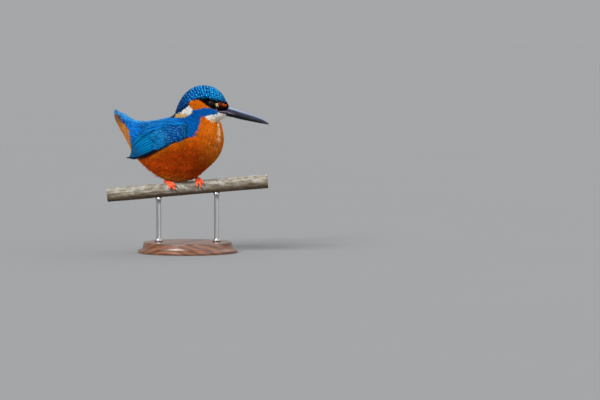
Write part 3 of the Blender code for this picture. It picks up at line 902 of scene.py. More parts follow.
# The mesh that a piece's modifiers leave, as a piece of its own; the piece is removed
def applied(piece, name):
    graph = bpy.context.evaluated_depsgraph_get()
    graph.update()
    ready = piece.evaluated_get(graph)
    mesh = bpy.data.meshes.new_from_object(ready, preserve_all_data_layers=True, depsgraph=graph)
    bpy.data.objects.remove(piece, do_unlink=True)
    return linked(name, mesh)


# Tarsus and toes welded into one closed skin by a fine remesh, then smoothed
def makeFoot(sideName):
    foot = feet[sideName]
    piece = joinedTubes("footDraft", [tarsusTube(foot)] + [toeTube(foot, toe) for toe in feet["toes"]])
    weld = piece.modifiers.new("weld", "REMESH")
    weld.mode = "VOXEL"
    weld.voxel_size = feet["voxel"] * mm
    weld.use_smooth_shade = True
    relax = piece.modifiers.new("relax", "SMOOTH")
    relax.factor = 0.5
    relax.iterations = 2
    return applied(piece, "foot_" + sideName)


def clawMaterial():
    material, tree, shader = newMaterial("clawHorn", 0.5, Coat_Weight=0.25, Coat_Roughness=0.2)
    grain = useGrain(tree, 700.0, 2500.0)
    surfaced(tree, shader, mixColor(tree, grain["Both"], *feet["horn"]), 0.28, grain["Fine"], 0.2, 0.00005)
    return material


# Four hooked claws: each radius falls from root to tip while the path lifts off the bark by a half sine
def makeClaws(sideName, material):
    foot = feet[sideName]
    t = np.linspace(-0.18, 1, 22)
    tubes = []
    for toe in feet["toes"]:
        _, degrees, _ = toePath(foot, toe, np.ones(22))
        degrees = degrees + math.copysign(feet["clawAngle"], toe[1]) * t
        distance = foot["place"] + toe[0] + np.radians(degrees) * perch["radius"] * (foot["lean"] + toe[2])
        radius = mix(*feet["claw"], np.clip(t, 0, 1) ** 0.8)
        lift = 0.9 * np.sin(math.pi * np.clip(t, 0, 1)) + radius + 0.15
        tubes.append(tubeRings(onPerch(distance, degrees, lift), radius * mm, 14))
    finished(joinedTubes("claws_" + sideName, tubes), material, "claw")


footDrafts = [makeFoot(sideName) for sideName, _ in bothSides]
clawHorn = clawMaterial()
for sideName, _ in bothSides:
    makeClaws(sideName, clawHorn)
print("feet and claws ready")

skin = {
    "places": 200,
    "sides": 176,
    "wingDepth": 2.0,  # how far the skin lies under the folded wing's outer face
    "shade": 0.75,  # of the feathers' colour
}


# How far out the wing's outer face lies at side-view places, falling away beyond its outline
def wingCover(points):
    reach = np.zeros(len(points))
    for _, side in bothSides:
        sheet = wingSheets[side][::2, ::2].reshape(-1, 3)
        mine = np.flatnonzero((points[:, 1] * side > 0) & (points[:, 0] < 0.014) & (points[:, 2] < 0.127))
        for part in np.array_split(mine, 40):
            near, away = nearest(sheet[:, [0, 2]], points[part, 0], points[part, 2])
            reach[part] = np.abs(sheet[near, 1]) - 1.6 * np.maximum(np.sqrt(away) - 1.2 * mm, 0)
    return reach


# Closed rings of the body's surface under its coat, widened below the folded wings to just under their face
def makeBodySkin():
    place = np.linspace(0.0, lastPlace - 0.3, skin["places"])[:, None]
    place, angle = np.broadcast_arrays(place, circle(skin["sides"])[None, :])
    point = underCoat(place, angle)
    rows = point.reshape(-1, 3)
    reach = wingCover(rows) - skin["wingDepth"] * mm
    wide = np.abs(rows[:, 1])
    wide = np.where(place.reshape(-1) > 7.5, np.maximum(wide, np.minimum(reach, wide + 6 * mm)), wide)
    rows = np.stack([rows[:, 0], np.where(rows[:, 1] < 0, -1, 1) * wide, rows[:, 2]], -1)
    return outwardFaces(newPiece("skin", *closedTube(rows.reshape(point.shape))))


# Upper and lower lid: a ring round the eye, thick at the brow and thin at the corners
def makeLid(sideName, side):
    center, axis = eyeCenter("eye_" + sideName), eyeAxis(side)
    first, second = crossAxes(axis)
    turn = circle(64)[:, None]
    upright = np.abs(np.sin(turn))
    gap = eye["lidInner"] * (1 - 0.10 * upright)
    depth = np.sqrt((eye["radius"] + 0.16) ** 2 - gap**2)
    path = center + (axis * depth + (first * np.cos(turn) + second * np.sin(turn)) * gap) * mm
    out = unit(path - center)
    flat = unit(np.cross(np.roll(path, -1, 0) - np.roll(path, 1, 0), out))
    thick = (eye["lidThick"] * (0.8 + 0.35 * upright) * mm)[:, None]
    section = circle(12)[:, None]
    rows = path[:, None] + (out[:, None] * np.cos(section) * 0.55 + flat[:, None] * np.sin(section)) * thick
    points = rows.reshape(-1, 3)
    return outwardFaces(newPiece("lid_" + sideName, points, gridFaces(65, 12) % len(points)))


def skinMaterial():
    material, tree, shader = newMaterial("plumedSkin", 0.04)
    grain = useGrain(tree, 500.0, 1800.0, (0.5, 1.0, 1.0))
    shade = ramp(tree, grain["Both"], 0.3, 0.7, 0.6, 1.1)
    color = mixColor(tree, 1.0, attribute(tree, "tint", "Color"), shade, "MULTIPLY")
    surfaced(tree, shader, color, 0.8, grain["Both"], 0.5, 0.0002)
    return material


# Waxy red scales: cells across the leg, with dark lines between them
def footMaterial():
    material, tree, shader = newMaterial("footScales", 0.5, Coat_Weight=0.12, Coat_Roughness=0.3)
    inputs = {"Vector": objectPlace(tree), "Scale": 950.0}
    cells = addNode(tree, "ShaderNodeTexVoronoi", inputs, feature="DISTANCE_TO_EDGE")
    edge = ramp(tree, cells.outputs["Distance"], 0.0, 0.16)
    line, dark, pale = feet["scales"]
    red = mixColor(tree, useGrain(tree, 260.0, 1900.0)["Coarse"], dark, pale)
    surfaced(tree, shader, mixColor(tree, edge, line, red), 0.42, edge, 0.5, 0.00012)
    return material


# Gives each point of the skin the colour of the nearest point of the body's surface
def paintSkin(piece):
    points = np.empty(len(piece.data.vertices) * 3, np.float32)
    piece.data.vertices.foreach_get("co", points)
    points = points.reshape(-1, 3)
    place, angle = np.meshgrid(np.linspace(0, lastPlace, 150), circle(120), indexing="ij")
    sample = underCoat(place, angle).reshape(-1, 3).astype(np.float32)
    x, z, y = (v.reshape(-1) for v in sideView(place, angle))
    base, _ = baseAndTip(regionAt(x, z, place.reshape(-1)), x, z, y)
    squares = (sample**2).sum(1)
    parts = np.array_split(points, 40)
    near = np.concatenate([(2 * part @ sample.T - squares).argmax(1) for part in parts])
    addTint(piece.data, base[near] * skin["shade"])


# Body, feet and lids joined into one skin, the feet keeping the second material
def makeSkin():
    draft = makeBodySkin()
    plumed, scales = skinMaterial(), footMaterial()
    for piece in [draft] + footDrafts:
        piece.data.materials.clear()
        piece.data.materials.append(plumed)
        piece.data.materials.append(scales)
    for foot in footDrafts:
        foot.data.polygons.foreach_set("material_index", np.ones(len(foot.data.polygons), np.int32))
    helpers = footDrafts + [makeLid(sideName, side) for sideName, side in bothSides]
    for helper in helpers:
        join = draft.modifiers.new(helper.name, "BOOLEAN")
        join.operation = "UNION"
        join.solver = "EXACT"
        join.object = helper
    piece = applied(draft, "skin")
    for helper in helpers:
        bpy.data.objects.remove(helper, do_unlink=True)
    piece.data.shade_smooth()
    paintSkin(piece)
    flesh = ("head", "neck", "trunk", "tail", "wing_right", "wing_left", "leg_right", "leg_left")
    finished(piece, None, "plumage", *flesh)


makeSkin()
print("skin ready")

bill = {
    # x, ridge z, cutting-edge z, keel z, half-width
    "rows": (
        (40.4, 135.3, 131.0, 127.4, 4.7),
        (44.2, 134.0, 129.6, 125.9, 3.9),
        (50.0, 132.0, 127.9, 124.4, 3.2),
        (57.2, 129.7, 125.8, 123.0, 2.5),
        (64.4, 127.3, 123.8, 121.6, 1.9),
        (71.2, 124.5, 122.0, 120.4, 1.3),
        (77.0, 120.9, 120.2, 119.5, 0.5),
    ),
    "lean": 0.48,  # the root slants back downward with the face
    "rootTuck": 2.6,  # how far the horn runs back under the feathers
    "nostril": (0.42, 0.62),  # row number and share of the height
    # painted light: the upper horn is coloured paler than the lower, as light from above would make it
    "upperHorn": ((8, 9, 18), (36, 40, 60)),
    "lowerHorn": ((4, 4, 7), (14, 15, 23)),
    # painted grey-blue reflection along the upper ridge
    "ridge": (128, 143, 174),
    "gape": (150, 132, 156),
}


# Sections along the curve through the rows: y = -halfWidth cos(a), z = edge + height * sin(a)^power, closed
# below by a shallow hollow; the power falls toward the root, and a low bump sharpens the ridge
def billHalf(name, upper, material):
    places = np.concatenate([np.linspace(-0.7, 0, 8)[:-1], np.linspace(0, 6, 92)])
    rows = through(bill["rows"], places)
    rows[:, 0] = np.where(places < 0, rows[0, 0] + places * bill["rootTuck"] / 0.7, rows[:, 0])
    place, along, halfWidth = places[:, None], rows[:, :1], rows[:, 4:5]
    edge = rows[:, 2:3] + (0.12 if upper else -0.12)
    height = (rows[:, 1:2] if upper else rows[:, 3:4]) - edge
    turn = np.linspace(0, math.pi, 33)[None, :]
    share = np.sin(turn) ** (mix(0.86, 0.95, np.clip(place / 6, 0, 1)) if upper else 0.8)
    ridge = 0.16 * np.exp(-((turn - math.pi / 2) / 0.10) ** 2) * np.clip(1.4 - place / 5, 0, 1)
    z = edge + height * share + (ridge if upper else -0.6 * ridge)
    y = -halfWidth * (1 - 0.05 * np.sin(turn) * upper) * np.cos(turn)
    low, high = bill["nostril"]
    slit = np.exp(-((place - low - 0.10) / 0.17) ** 2)
    slit = slit * np.exp(-((share - high + 0.25 * (place - low)) / 0.13) ** 2)
    y = y - np.sign(y) * 0.55 * slit * upper
    floorTurn = np.linspace(math.pi, 0, 14)[1:-1][None, :]
    floorZ = edge + 0.28 * np.sin(floorTurn) * np.sign(height) * np.minimum(1, np.abs(height))
    y = np.hstack([y, -halfWidth * np.cos(floorTurn)])
    z = np.hstack([z, floorZ])
    x = along + bill["lean"] * np.clip(1 - place, 0, 1) * (z - rows[0, 1])
    rings = turnedHead(np.stack([x, y, z], -1) * mm, np.zeros(x.shape))
    up = np.hstack([np.broadcast_to(share, (len(places), 33)), np.zeros(floorZ.shape)])
    values = {
        "along": np.append(np.repeat(places / 6, x.shape[1]), [0, 1]),
        "up": np.append(up, [0.5, 0.5]),
    }
    closedPiece(name + "_horn", rings, material, "bill", name, values=values)


# Blue-black horn with fine lengthwise lines, a painted grey-blue reflection along the ridge, and paler by the
# edge near the gape
def billMaterial(name):
    material, tree, shader = newMaterial(name, 0.2, Coat_Weight=0.03, Coat_Roughness=0.22)
    along, up = attribute(tree, "along"), attribute(tree, "up")
    grain = useGrain(tree, 420.0, 2200.0, (0.12, 1.0, 1.0))["Both"]
    horn = mixColor(tree, ramp(tree, grain, 0.35, 0.65), *bill[name])
    if name == "upperHorn":
        # painted reflection along the ridge
        ridge = calc(tree, "MULTIPLY", ramp(tree, up, 0.62, 0.92), ramp(tree, along, 0.95, 0.1, 0.45, 0.9))
        horn = mixColor(tree, ridge, horn, bill["ridge"])
    pale = calc(tree, "MULTIPLY", ramp(tree, along, 0.26, 0.0), ramp(tree, up, 0.20, 0.03, 0, 0.85))
    horn = mixColor(tree, pale, horn, bill["gape"])
    surfaced(tree, shader, horn, ramp(tree, grain, 0.3, 0.7, 0.28, 0.44), grain, 0.25, 0.0001)
    return material


# Section number and angle of the head's surface at side-view places: those of the nearest point of a grid
def onSide(x, z, side):
    place, angle = np.meshgrid(np.linspace(0, 5, 500), np.linspace(0.5, 2.8, 260), indexing="ij")
    sample = bodyAt(place, angle, turned=False)[..., [0, 2]].reshape(-1, 2) / mm
    near, _ = nearest(sample, x, z)
    return place.reshape(-1)[near], -side * angle.reshape(-1)[near]


gape = {
    "line": ((42.0, 130.5), (38.5, 130.7), (35.0, 131.0), (31.8, 131.5), (28.8, 132.3)),
    "half": (2.4, 1.9, 1.35, 0.8, 0.2),
    "thick": (0.5, 0.5, 0.42, 0.3, 0.1),
    "sink": 0.35,
    "groove": 0.35,  # where the mouth's line runs, as a share of the half-width
}


# The horny corner of the mouth: a flattened tube from the bill's root back under the eye, tapering to its end
def makeGape(sideName, side, material):
    t = np.linspace(0, 4, 40)
    place, angle = onSide(*through(gape["line"], t).T, side)
    here = bodyFrame(np.clip(place, 0.02, 5), angle)
    across = unit(np.cross(unit(np.gradient(here.point, axis=0)), here.normal))
    half, thick = (np.interp(t, range(5), gape[k])[:, None, None] * mm for k in ("half", "thick"))
    turn = circle(20)[None, :, None]
    groove = 1 - 0.6 * np.exp(-(((np.cos(turn) - gape["groove"]) / 0.2) ** 2)) * (np.sin(turn) > 0)
    rings = (here.point - here.normal * gape["sink"] * mm)[:, None] + across[:, None] * np.cos(turn) * half
    rings = rings + here.normal[:, None] * np.sin(turn) * thick * groove
    edge = np.append(np.tile(np.abs(np.cos(turn[0, :, 0]) - gape["groove"]) * 0.5, 40), [0.3, 0.3])
    values = {"along": np.full(len(edge), 0.02), "up": edge}
    closedPiece("gape_" + sideName, rings, material, "bill", values=values)


upperHorn = billMaterial("upperHorn")
billHalf("bill_upper", True, upperHorn)
billHalf("bill_lower", False, billMaterial("lowerHorn"))
for sideName, side in bothSides:
    makeGape(sideName, side, upperHorn)
print("bill ready")

bark = {
    "rows": 520,
    "sides": 150,
    # distance along, degrees round, height, width
    "knots": ((27.5, 60.0, 1.5, 3.0), (31.0, -30.0, 0.9, 2.2), (-58.0, 118.0, 0.8, 2.6),
              (63.0, 20.0, 0.7, 2.0)),
    "lenticels": 110,
    "end": 0.5,  # how far the sawn face dishes in
    "streaks": ((82, 72, 56), (154, 149, 139)),
    # each layer's mask from and to, its greatest share and its colour
    "lichen": (0.50, 0.62, 0.65, (168, 168, 164)),
    "moss": (0.55, 0.66, 0.6, (126, 118, 70)),
    "stain": (0.60, 0.68, 0.6, (70, 58, 40)),
    # painted shade: darker brown where the bark faces down
    "underside": (0.35, -0.6, 0.85, (66, 46, 20)),
    "pores": (0.25, 0.8, 0.8, (92, 72, 54)),
    "specks": (0.62, 0.74, 0.7, (66, 54, 42)),
    "wood": ((206, 178, 132), (170, 132, 88), (96, 70, 46)),  # pale and dark rings, rim under the bark
}


# A sum of sines of random directions and phases, the amplitude falling as the frequency grows
def waves(x, y, seed, count, roughness):
    own = np.random.default_rng(seed)
    total = np.zeros(np.broadcast(x, y).shape)
    for _ in range(count):
        fx, fy, phase = own.normal(0, 1), own.integers(-4, 5), own.uniform(0, 2 * math.pi)
        size = 1 / (1 + abs(fx) + abs(fy)) ** roughness
        total += size * np.sin(fx * x + fy * y + phase)
    return total


def turnGap(turn, around):  # the angle between them, from -pi to pi
    return (turn - around + math.pi) % (2 * math.pi) - math.pi


# A rod whose radius swells slowly, with lengthwise furrows, raised lens-shaped pores, knots and sawn ends
def makePerch():
    halfLength = perch["length"] / 2
    along = np.linspace(-halfLength, halfLength, bark["rows"])[:, None]
    turn = circle(bark["sides"])[None, :]
    share = along / perch["length"] + 0.5
    swell = -perch["uneven"] * np.cos(5 * share * math.pi) * smooth(np.abs(share - 0.5) * 4)
    radius = perch["radius"] * (1 + swell) + 0.09 * waves(along * 0.12, turn, 3, 26, 1.1)
    radius = radius - 0.05 * np.abs(waves(along * 0.35, turn * 5, 9, 22, 0.5))
    own = np.random.default_rng(77)
    pores = np.zeros(radius.shape)
    for _ in range(bark["lenticels"]):
        at, around = own.uniform(-74, 74), own.uniform(0, 2 * math.pi)
        long, wide, high = own.uniform(0.5, 1.1), own.uniform(0.25, 0.5), own.uniform(0.1, 0.2)
        gap = turnGap(turn, around) * perch["radius"]
        spot = np.exp(-(((along - at) / wide) ** 2) - (gap / long) ** 2)
        pores = np.maximum(pores, spot)
        radius = radius + high * spot
    for at, around, high, wide in bark["knots"]:
        gap = turnGap(turn, math.radians(around)) * perch["radius"]
        away = np.hypot(along - at, gap * 1.15)
        radius = radius + high * np.exp(-((away / wide) ** 2))
        radius = radius - 0.55 * high * np.exp(-((away / (0.42 * wide)) ** 2))
    radius = radius - 0.3 * (1 - np.minimum(1, (halfLength - np.abs(along)) / 0.35)) ** 2
    out = perchUp * np.cos(turn)[..., None] + perchFront * np.sin(turn)[..., None]
    rows = perchMiddle + perchAlong * along[..., None] + out * radius[..., None]

    inward = np.linspace(1, 0.04, 14)[1:]
    k = inward[:, None, None]
    caps = []
    for row, way in ((rows[0], -1), (rows[-1], 1)):
        center = row.mean(0)
        dish = perchAlong * way * bark["end"] * 0.5 * (1 - k**2)
        caps.append(center + (row - center) * k - dish + perchAlong * way * 0.05 * np.sin(40 * k))
    rings = np.concatenate([caps[0][::-1], rows, caps[1]]) * mm
    count = len(inward)
    sawn = np.zeros(rings.shape[:2])
    sawn[:count] = inward[::-1][:, None]
    sawn[-count:] = inward[:, None]
    onBark = np.pad(pores, ((count, count), (0, 0)))
    values = {"sawn": np.append(sawn, [0.02, 0.02]), "pore": np.append(onBark, [0, 0])}
    closedPiece("branch", rings, barkMaterial(), "bark", "perch", values=values)


# Weathered grey bark: streaks along the branch, darker brown below by painted shade, lichen, and ringed pale
# wood at the ends
def barkMaterial():
    material, tree, shader = newMaterial("weatheredBark", 0.25)
    inputs = {"Vector": objectPlace(tree), "Rotation": (0, perchSlope, -perchTurn)}
    lie = addNode(tree, "ShaderNodeMapping", inputs).outputs[0]

    def lengthwise(scale, stretch):
        return noise(tree, scaled(tree, lie, (stretch, 1, 1)), scale, 5.0, 0.62)

    streak, blotch, fine = lengthwise(420.0, 0.22), lengthwise(170.0, 0.6), lengthwise(1500.0, 0.5)
    facing = addNode(tree, "ShaderNodeNewGeometry").outputs["Normal"]
    upward = addNode(tree, "ShaderNodeSeparateXYZ", {0: facing}).outputs[2]
    color = mixColor(tree, ramp(tree, streak, 0.34, 0.64), *bark["streaks"])
    color = layered(tree, color, (
        (blotch, *bark["lichen"]),
        (lengthwise(300.0, 0.8), *bark["moss"]),
        (lengthwise(620.0, 0.7), *bark["stain"]),
        # painted shade where the bark faces down
        (upward, *bark["underside"]),
        (attribute(tree, "pore"), *bark["pores"]),
        (fine, *bark["specks"]),
    ))
    sawn = attribute(tree, "sawn")
    pale, dark, rim = bark["wood"]
    yearly = calc(tree, "MULTIPLY", calc(tree, "MULTIPLY_ADD", streak, 0.05, sawn), 52.0)
    wood = mixColor(tree, ramp(tree, calc(tree, "SINE", yearly), -0.6, 1.0), pale, dark)
    wood = mixColor(tree, ramp(tree, sawn, 0.86, 0.93), wood, rim)
    color = mixColor(tree, ramp(tree, sawn, 0.005, 0.02), color, wood)
    height = calc(tree, "MULTIPLY_ADD", fine, 0.35, streak)
    surfaced(tree, shader, color, ramp(tree, blotch, 0.3, 0.7, 0.95, 0.72), height, 0.6, 0.0004)
    return material


makePerch()
print("perch ready")

stand = {
    "baseRadius": 46.0,
    "baseHeight": 10.0,
    "step": 3.0,
    "cove": 5.0,
    "bevel": 0.8,
    "rodRadius": 2.2,
    "rodSpread": 27.0,  # along the branch, from its middle
    "collarRadius": 3.5,
    "collarHeight": 2.2,
    "walnut": ((62, 34, 20), (118, 70, 42)),
    "pores": (0.55, 0.66, 0.7, (40, 22, 14)),
    "clouds": (0.35, 0.7, 0.35, (136, 84, 50)),
    "steel": ((150, 150, 152), (206, 206, 206)),
}


# Rings of a profile turned about an upright axis: radius and height
def turnedRings(profile, center, count):
    r, z = np.array(profile, float).T[..., None]
    turn = circle(count)[None, :]
    return np.stack([center[0] + r * np.cos(turn), center[1] + r * np.sin(turn), z + 0 * turn], -1) * mm


# Points on an arc, its angles in degrees from the outward direction up
def arcPoints(middle, radius, start, end, count):
    turn = np.radians(np.linspace(start, end, count))
    return [(middle[0] + radius * math.cos(a), middle[1] + radius * math.sin(a)) for a in turn]


# Walnut: rings round an axis lying along Y, bent by noise, with fine pores, under satin varnish
def woodMaterial():
    material, tree, shader = newMaterial("turnedWalnut", 0.5, Coat_Weight=0.5, Coat_Roughness=0.18)
    turned = {"Location": (0.0, 0.0, 0.045), "Scale": (1.0, 0.10, 1.0), "Rotation": (0.04, 0, 0.3)}
    lie = addNode(tree, "ShaderNodeMapping", {"Vector": objectPlace(tree), **turned}).outputs[0]
    split = addNode(tree, "ShaderNodeSeparateXYZ", {0: lie}).outputs
    squares = [calc(tree, "MULTIPLY", split[i], split[i]) for i in (0, 2)]
    away = calc(tree, "POWER", calc(tree, "ADD", *squares), 0.5)
    bent = calc(tree, "MULTIPLY_ADD", noise(tree, lie, 22.0, 3.0), 0.016, away)
    wave = calc(tree, "SINE", calc(tree, "MULTIPLY", bent, 1500.0))
    grain = useGrain(tree, 300.0, 1800.0, (1.0, 0.05, 1.0))
    color = mixColor(tree, ramp(tree, wave, -0.9, 0.9), *stand["walnut"])
    color = layered(tree, color, ((grain["Fine"], *stand["pores"]), (grain["Coarse"], *stand["clouds"])))
    surfaced(tree, shader, color, ramp(tree, grain["Both"], 0.3, 0.7, 0.38, 0.5), grain["Fine"], 0.12, 0.0001)
    return material


def steelMaterial():
    material, tree, shader = newMaterial("brushedSteel", 0.5, Metallic=1.0)
    grain = useGrain(tree, 700.0, 3200.0, (1.0, 1.0, 0.02))["Both"]
    roughness = ramp(tree, grain, 0.3, 0.7, 0.22, 0.42)
    surfaced(tree, shader, mixColor(tree, grain, *stand["steel"]), roughness, grain, 0.15, 0.00008)
    return material


# A turned profile: a rounded foot, a cove that follows a quarter of an ellipse, and a rounded flat top
def makeBase(material):
    sizes = ("baseRadius", "baseHeight", "step", "cove", "bevel")
    radius, height, step, cove, edge = (stand[k] for k in sizes)
    profile = [(radius - 6, 0.0), (radius - edge, 0.0)]
    profile += arcPoints((radius - edge, edge), edge, -90, 0, 7)
    profile += arcPoints((radius - edge, step - edge), edge, 0, 90, 7)
    start = radius - edge - 0.6
    profile += [(start - (cove - 1.6) * math.sin(a) * 0.9, step + (cove - 0.6) * (1 - math.cos(a)))
                for a in np.linspace(0.05, math.pi / 2, 16)]
    profile += arcPoints((radius - cove - edge, height - edge), edge, 0, 90, 9)
    profile += [(radius - cove - k, height) for k in (2.5, 8.0, 20.0, 36.0)]
    closedPiece("stand_base_wood", turnedRings(profile, (0, 0), 180), material, "stand_wood", "stand_base")


# A round rod with a small domed collar where it enters the base and a thinner one under the branch
def makeRod(name, way, material):
    at = perchAlong * stand["rodSpread"] * way
    low, high = stand["baseHeight"], perch["height"] + at[2] - perch["radius"]
    rod, collar, top = stand["rodRadius"], stand["collarRadius"], low + stand["collarHeight"]
    profile = [(rod, low - 3.5), (rod, low), (collar, low + 0.02), (collar, top - 0.7)]
    profile += arcPoints((collar - 0.7, top - 0.7), 0.7, 15, 90, 6)
    profile += [(rod + 0.12, top), (rod, top + 0.1)]
    profile += [(rod, z) for z in np.linspace(top + 1, high - 2.6, 12)]
    profile += [(rod + 0.1, high - 2.5), (rod + 0.55, high - 2.4), (rod + 0.7, high - 2.1)]
    profile += [(rod + 0.7, high + 0.6), (rod, high + 0.8), (rod, high + 3.0)]
    closedPiece(name + "_steel", turnedRings(profile, at[:2], 56), material, "stand_steel", name)


makeBase(woodMaterial())
steel = steelMaterial()
makeRod("stand_rod_rear", -1, steel)
makeRod("stand_rod_front", 1, steel)
print("stand ready")

studio = {
    "floor": (125, 126, 127),
    "floorHalf": 30.0,  # metres
    "world": (166, 167, 168),
    # shares of the way to the light rightward, toward the camera and up; its power; its width in degrees
    "suns": (
        ((-0.55, 0.75, 0.85), 3.6, 34.0),
        ((0.5, -0.5, 1.0), 1.2, 60.0),
        ((0.9, 0.5, 0.06), 2.15, 90.0),
        ((0.1, 1.0, 0.04), 1.0, 80.0),
        ((-0.45, 0.80, 0.50), 0.6, 7.0),
    ),
}


# A wide sun: soft shadows and an evenly lit floor
def sunLight(name, direction, power, width):
    lamp = bpy.data.lights.new(name, "SUN")
    lamp.energy = power
    lamp.angle = math.radians(width)
    near = Vector((math.sin(viewSide), -math.cos(viewSide), 0))
    toLight = viewRight * direction[0] + near * direction[1] + Vector((0, 0, direction[2]))
    light = linked(name, lamp)
    light.rotation_euler = (-toLight).to_track_quat("-Z", "Y").to_euler()
    light.location = toLight


def makeStudio():
    half = studio["floorHalf"]
    corners = np.array([(-half, -half, 0), (half, -half, 0), (half, half, 0), (-half, half, 0)], float)
    floor = newPiece("floor", corners, [(0, 1, 2, 3)])
    material, tree, shader = newMaterial("paleFloor", 0.1)
    shade = ramp(tree, useGrain(tree, 3.0, 400.0)["Both"], 0, 1, 0.97, 1.03)
    surfaced(tree, shader, mixColor(tree, 1.0, studio["floor"], shade, "MULTIPLY"), 0.9)
    floor.data.materials.append(material)
    world = bpy.data.worlds.new("world")
    world.use_nodes = True
    give(world.node_tree, world.node_tree.nodes["Background"].inputs["Color"], studio["world"])
    bpy.context.scene.world = world
    for i, sun in enumerate(studio["suns"]):
        sunLight(f"softSun{i + 1}", *sun)


makeStudio()

coat = {
    # sections from and to, step of the rows, gap between roots, angle reached each way round, wander of the
    # markings, how far ahead of its root a feather shows
    "crown": {"from": 0.12, "to": 9.4, "row": 0.27, "gap": 2.1, "reach": 1.9, "wander": 0.15, "ahead": 3.2,
              "length": 5.2, "half": 1.36, "thick": 0.12, "bow": 0.28, "rootShare": 0.9, "lift": 0.10,
              "outline": (0.2, 0.55, 0.85, 1.0, 1.0, 0.86, 0.0), "map": ((0, 9.6), (-2.0, 2.0)),
              "patch": (0.014, 0.012)},
    "back": {"from": 7.9, "to": 21.6, "row": 0.50, "gap": 2.6, "reach": 2.5, "wander": 0.3, "ahead": 6.0,
             "length": 9.6, "half": 1.55, "thick": 0.14, "bow": 0.18, "rootShare": 0.85, "lift": 0.18,
             "outline": (0.2, 0.6, 0.9, 1.0, 1.0, 0.95, 0.78, 0.42, 0.0), "map": ((7.5, 22), (-2.6, 2.6)),
             "patch": (0.02, 0.02)},
}


# Roots in rows across the body: in each the angles are even by arc length, odd rows shifted half a gap
def evenRows(setting):
    dense = np.linspace(-setting["reach"], setting["reach"], 400)
    gap = setting["gap"] * mm
    places, around = [], []
    for i, place in enumerate(np.arange(setting["from"], setting["to"], setting["row"])):
        steps = np.linalg.norm(np.diff(bodyAt(place, dense), axis=0), axis=1)
        arc = np.concatenate([[0], np.cumsum(steps)])
        count = int(arc[-1] / 2 / gap) + 1
        at = arc[-1] / 2 + (np.arange(-count, count + 1) + 0.5 * (i % 2)) * gap
        at = at[(at > 0) & (at < arc[-1])]
        around.append(np.interp(at, arc, dense))
        places.append(np.full(len(at), place))
    place, angle = np.concatenate(places), np.concatenate(around)
    place = place + dice.uniform(-0.12, 0.12, place.shape) * setting["row"]
    return place, angle + dice.normal(0, 0.012, angle.shape)


# The marking where a feather shows, some way tailward of its root with a little wander, and x, z, y there
def marking(place, angle, wander, ahead):
    perPlace = bodyFrame(np.clip(place, 0.05, lastPlace), angle).perPlace
    place = np.clip(place + ahead * mm / perPlace, 0, lastPlace)
    x, z, y = sideView(place, angle)
    x = x + dice.normal(0, wander, x.shape)
    z = z + dice.normal(0, wander, x.shape)
    return regionAt(x, z, place), x, z, y


# Places along paths on the plumage: each step goes tailward by cos(heading) and round by sin(heading)
def bodyPaths(place, angle, heading, length, steps):
    places, angles = [place], [angle]
    for _ in range(steps):
        here = bodyFrame(np.clip(place, 0, lastPlace), angle)
        place = place + np.cos(heading) * length / steps / here.perPlace
        angle = angle + np.sin(heading) * length / steps / here.perAngle
        places.append(place)
        angles.append(angle)
    return np.stack(places, 1), np.stack(angles, 1)


# Centre lines over the skin: the height rises from the skin's depth to just over the plumage's surface
def coatPaths(place, angle, heading, length, steps, rootShare, tipLift):
    places, angles = bodyPaths(place, angle, heading, length, steps)
    held = np.clip(places, 0.02, lastPlace)
    here = bodyFrame(held, angles)
    past = ((places - held) * here.perPlace)[..., None]
    t = np.linspace(0, 1, steps + 1)
    height = -coatDepth(held) * rootShare * (1 - t) ** 1.1
    height = height + np.broadcast_to(tipLift, place.shape)[:, None] * t**1.5
    return here.point + here.tailward * past + here.normal * height[..., None], here.normal


# Lengths scaled by how wide apart the sections lie there, so feathers shrink toward the face and throat
def shortened(place, angle, length):
    perPlace = bodyFrame(np.clip(place, 0.05, lastPlace), angle).perPlace
    return length * np.clip((perPlace / (9.0 * mm)) ** 0.7, 0.35, 1.15)


# Scale feathers over the body from their roots; half-widths are shares of the setting's
def layScales(label, place, angle, heading, length, half, paint):
    setting = coat[label]
    outline = np.array(setting["outline"])
    lift = setting["lift"] * mm
    paths = coatPaths(place, angle, heading, length, len(outline) - 1, setting["rootShare"], lift)
    feathers(label + "_feathers", "scale", *paths, half * outline, setting["thick"], setting["bow"],
             unwrap(place, angle, *setting["map"]), setting["patch"], paint)
    print(label + ":", len(place), "feathers")


# Small round scale feathers, dark blue with a bright bar at the tip
def makeCrown():
    setting = coat["crown"]
    place, angle = evenRows(setting)
    region, x, z, y = marking(place, angle, setting["wander"], setting["ahead"])
    place, angle, region, x, z, y = picked(region == number["crown"], place, angle, region, x, z, y)
    n = len(place)
    length = shortened(place, angle, setting["length"] * mm) * dice.uniform(0.9, 1.1, n)
    heading = dice.normal(0, 0.07, n)
    half = (length / (setting["length"] * mm) * setting["half"] * mm * 1.02)[:, None]
    base, tip = (v[:, None] for v in baseAndTip(region, x, z, y))
    shade = dice.uniform(0.65, 1.4, (n, 1, 1))
    bright = dice.uniform(0.5, 1.15, (n, 1, 1)) * mix(0.5, 1.0, smooth((x + 4) / 22))[:, None, None]

    def paint(t, s):
        bar = np.exp(-(((t - 0.833) / 0.1) ** 2)) * np.exp(-((s / 0.62) ** 2))
        dark = 0.75 + 0.35 * np.exp(-(((t - 0.8) / 0.25) ** 2))
        return mix(base * shade * dark, tip * shade**0.5, np.clip(1.15 * bar * bright, 0, 1))

    layScales("crown", place, angle, heading, length, half, paint)


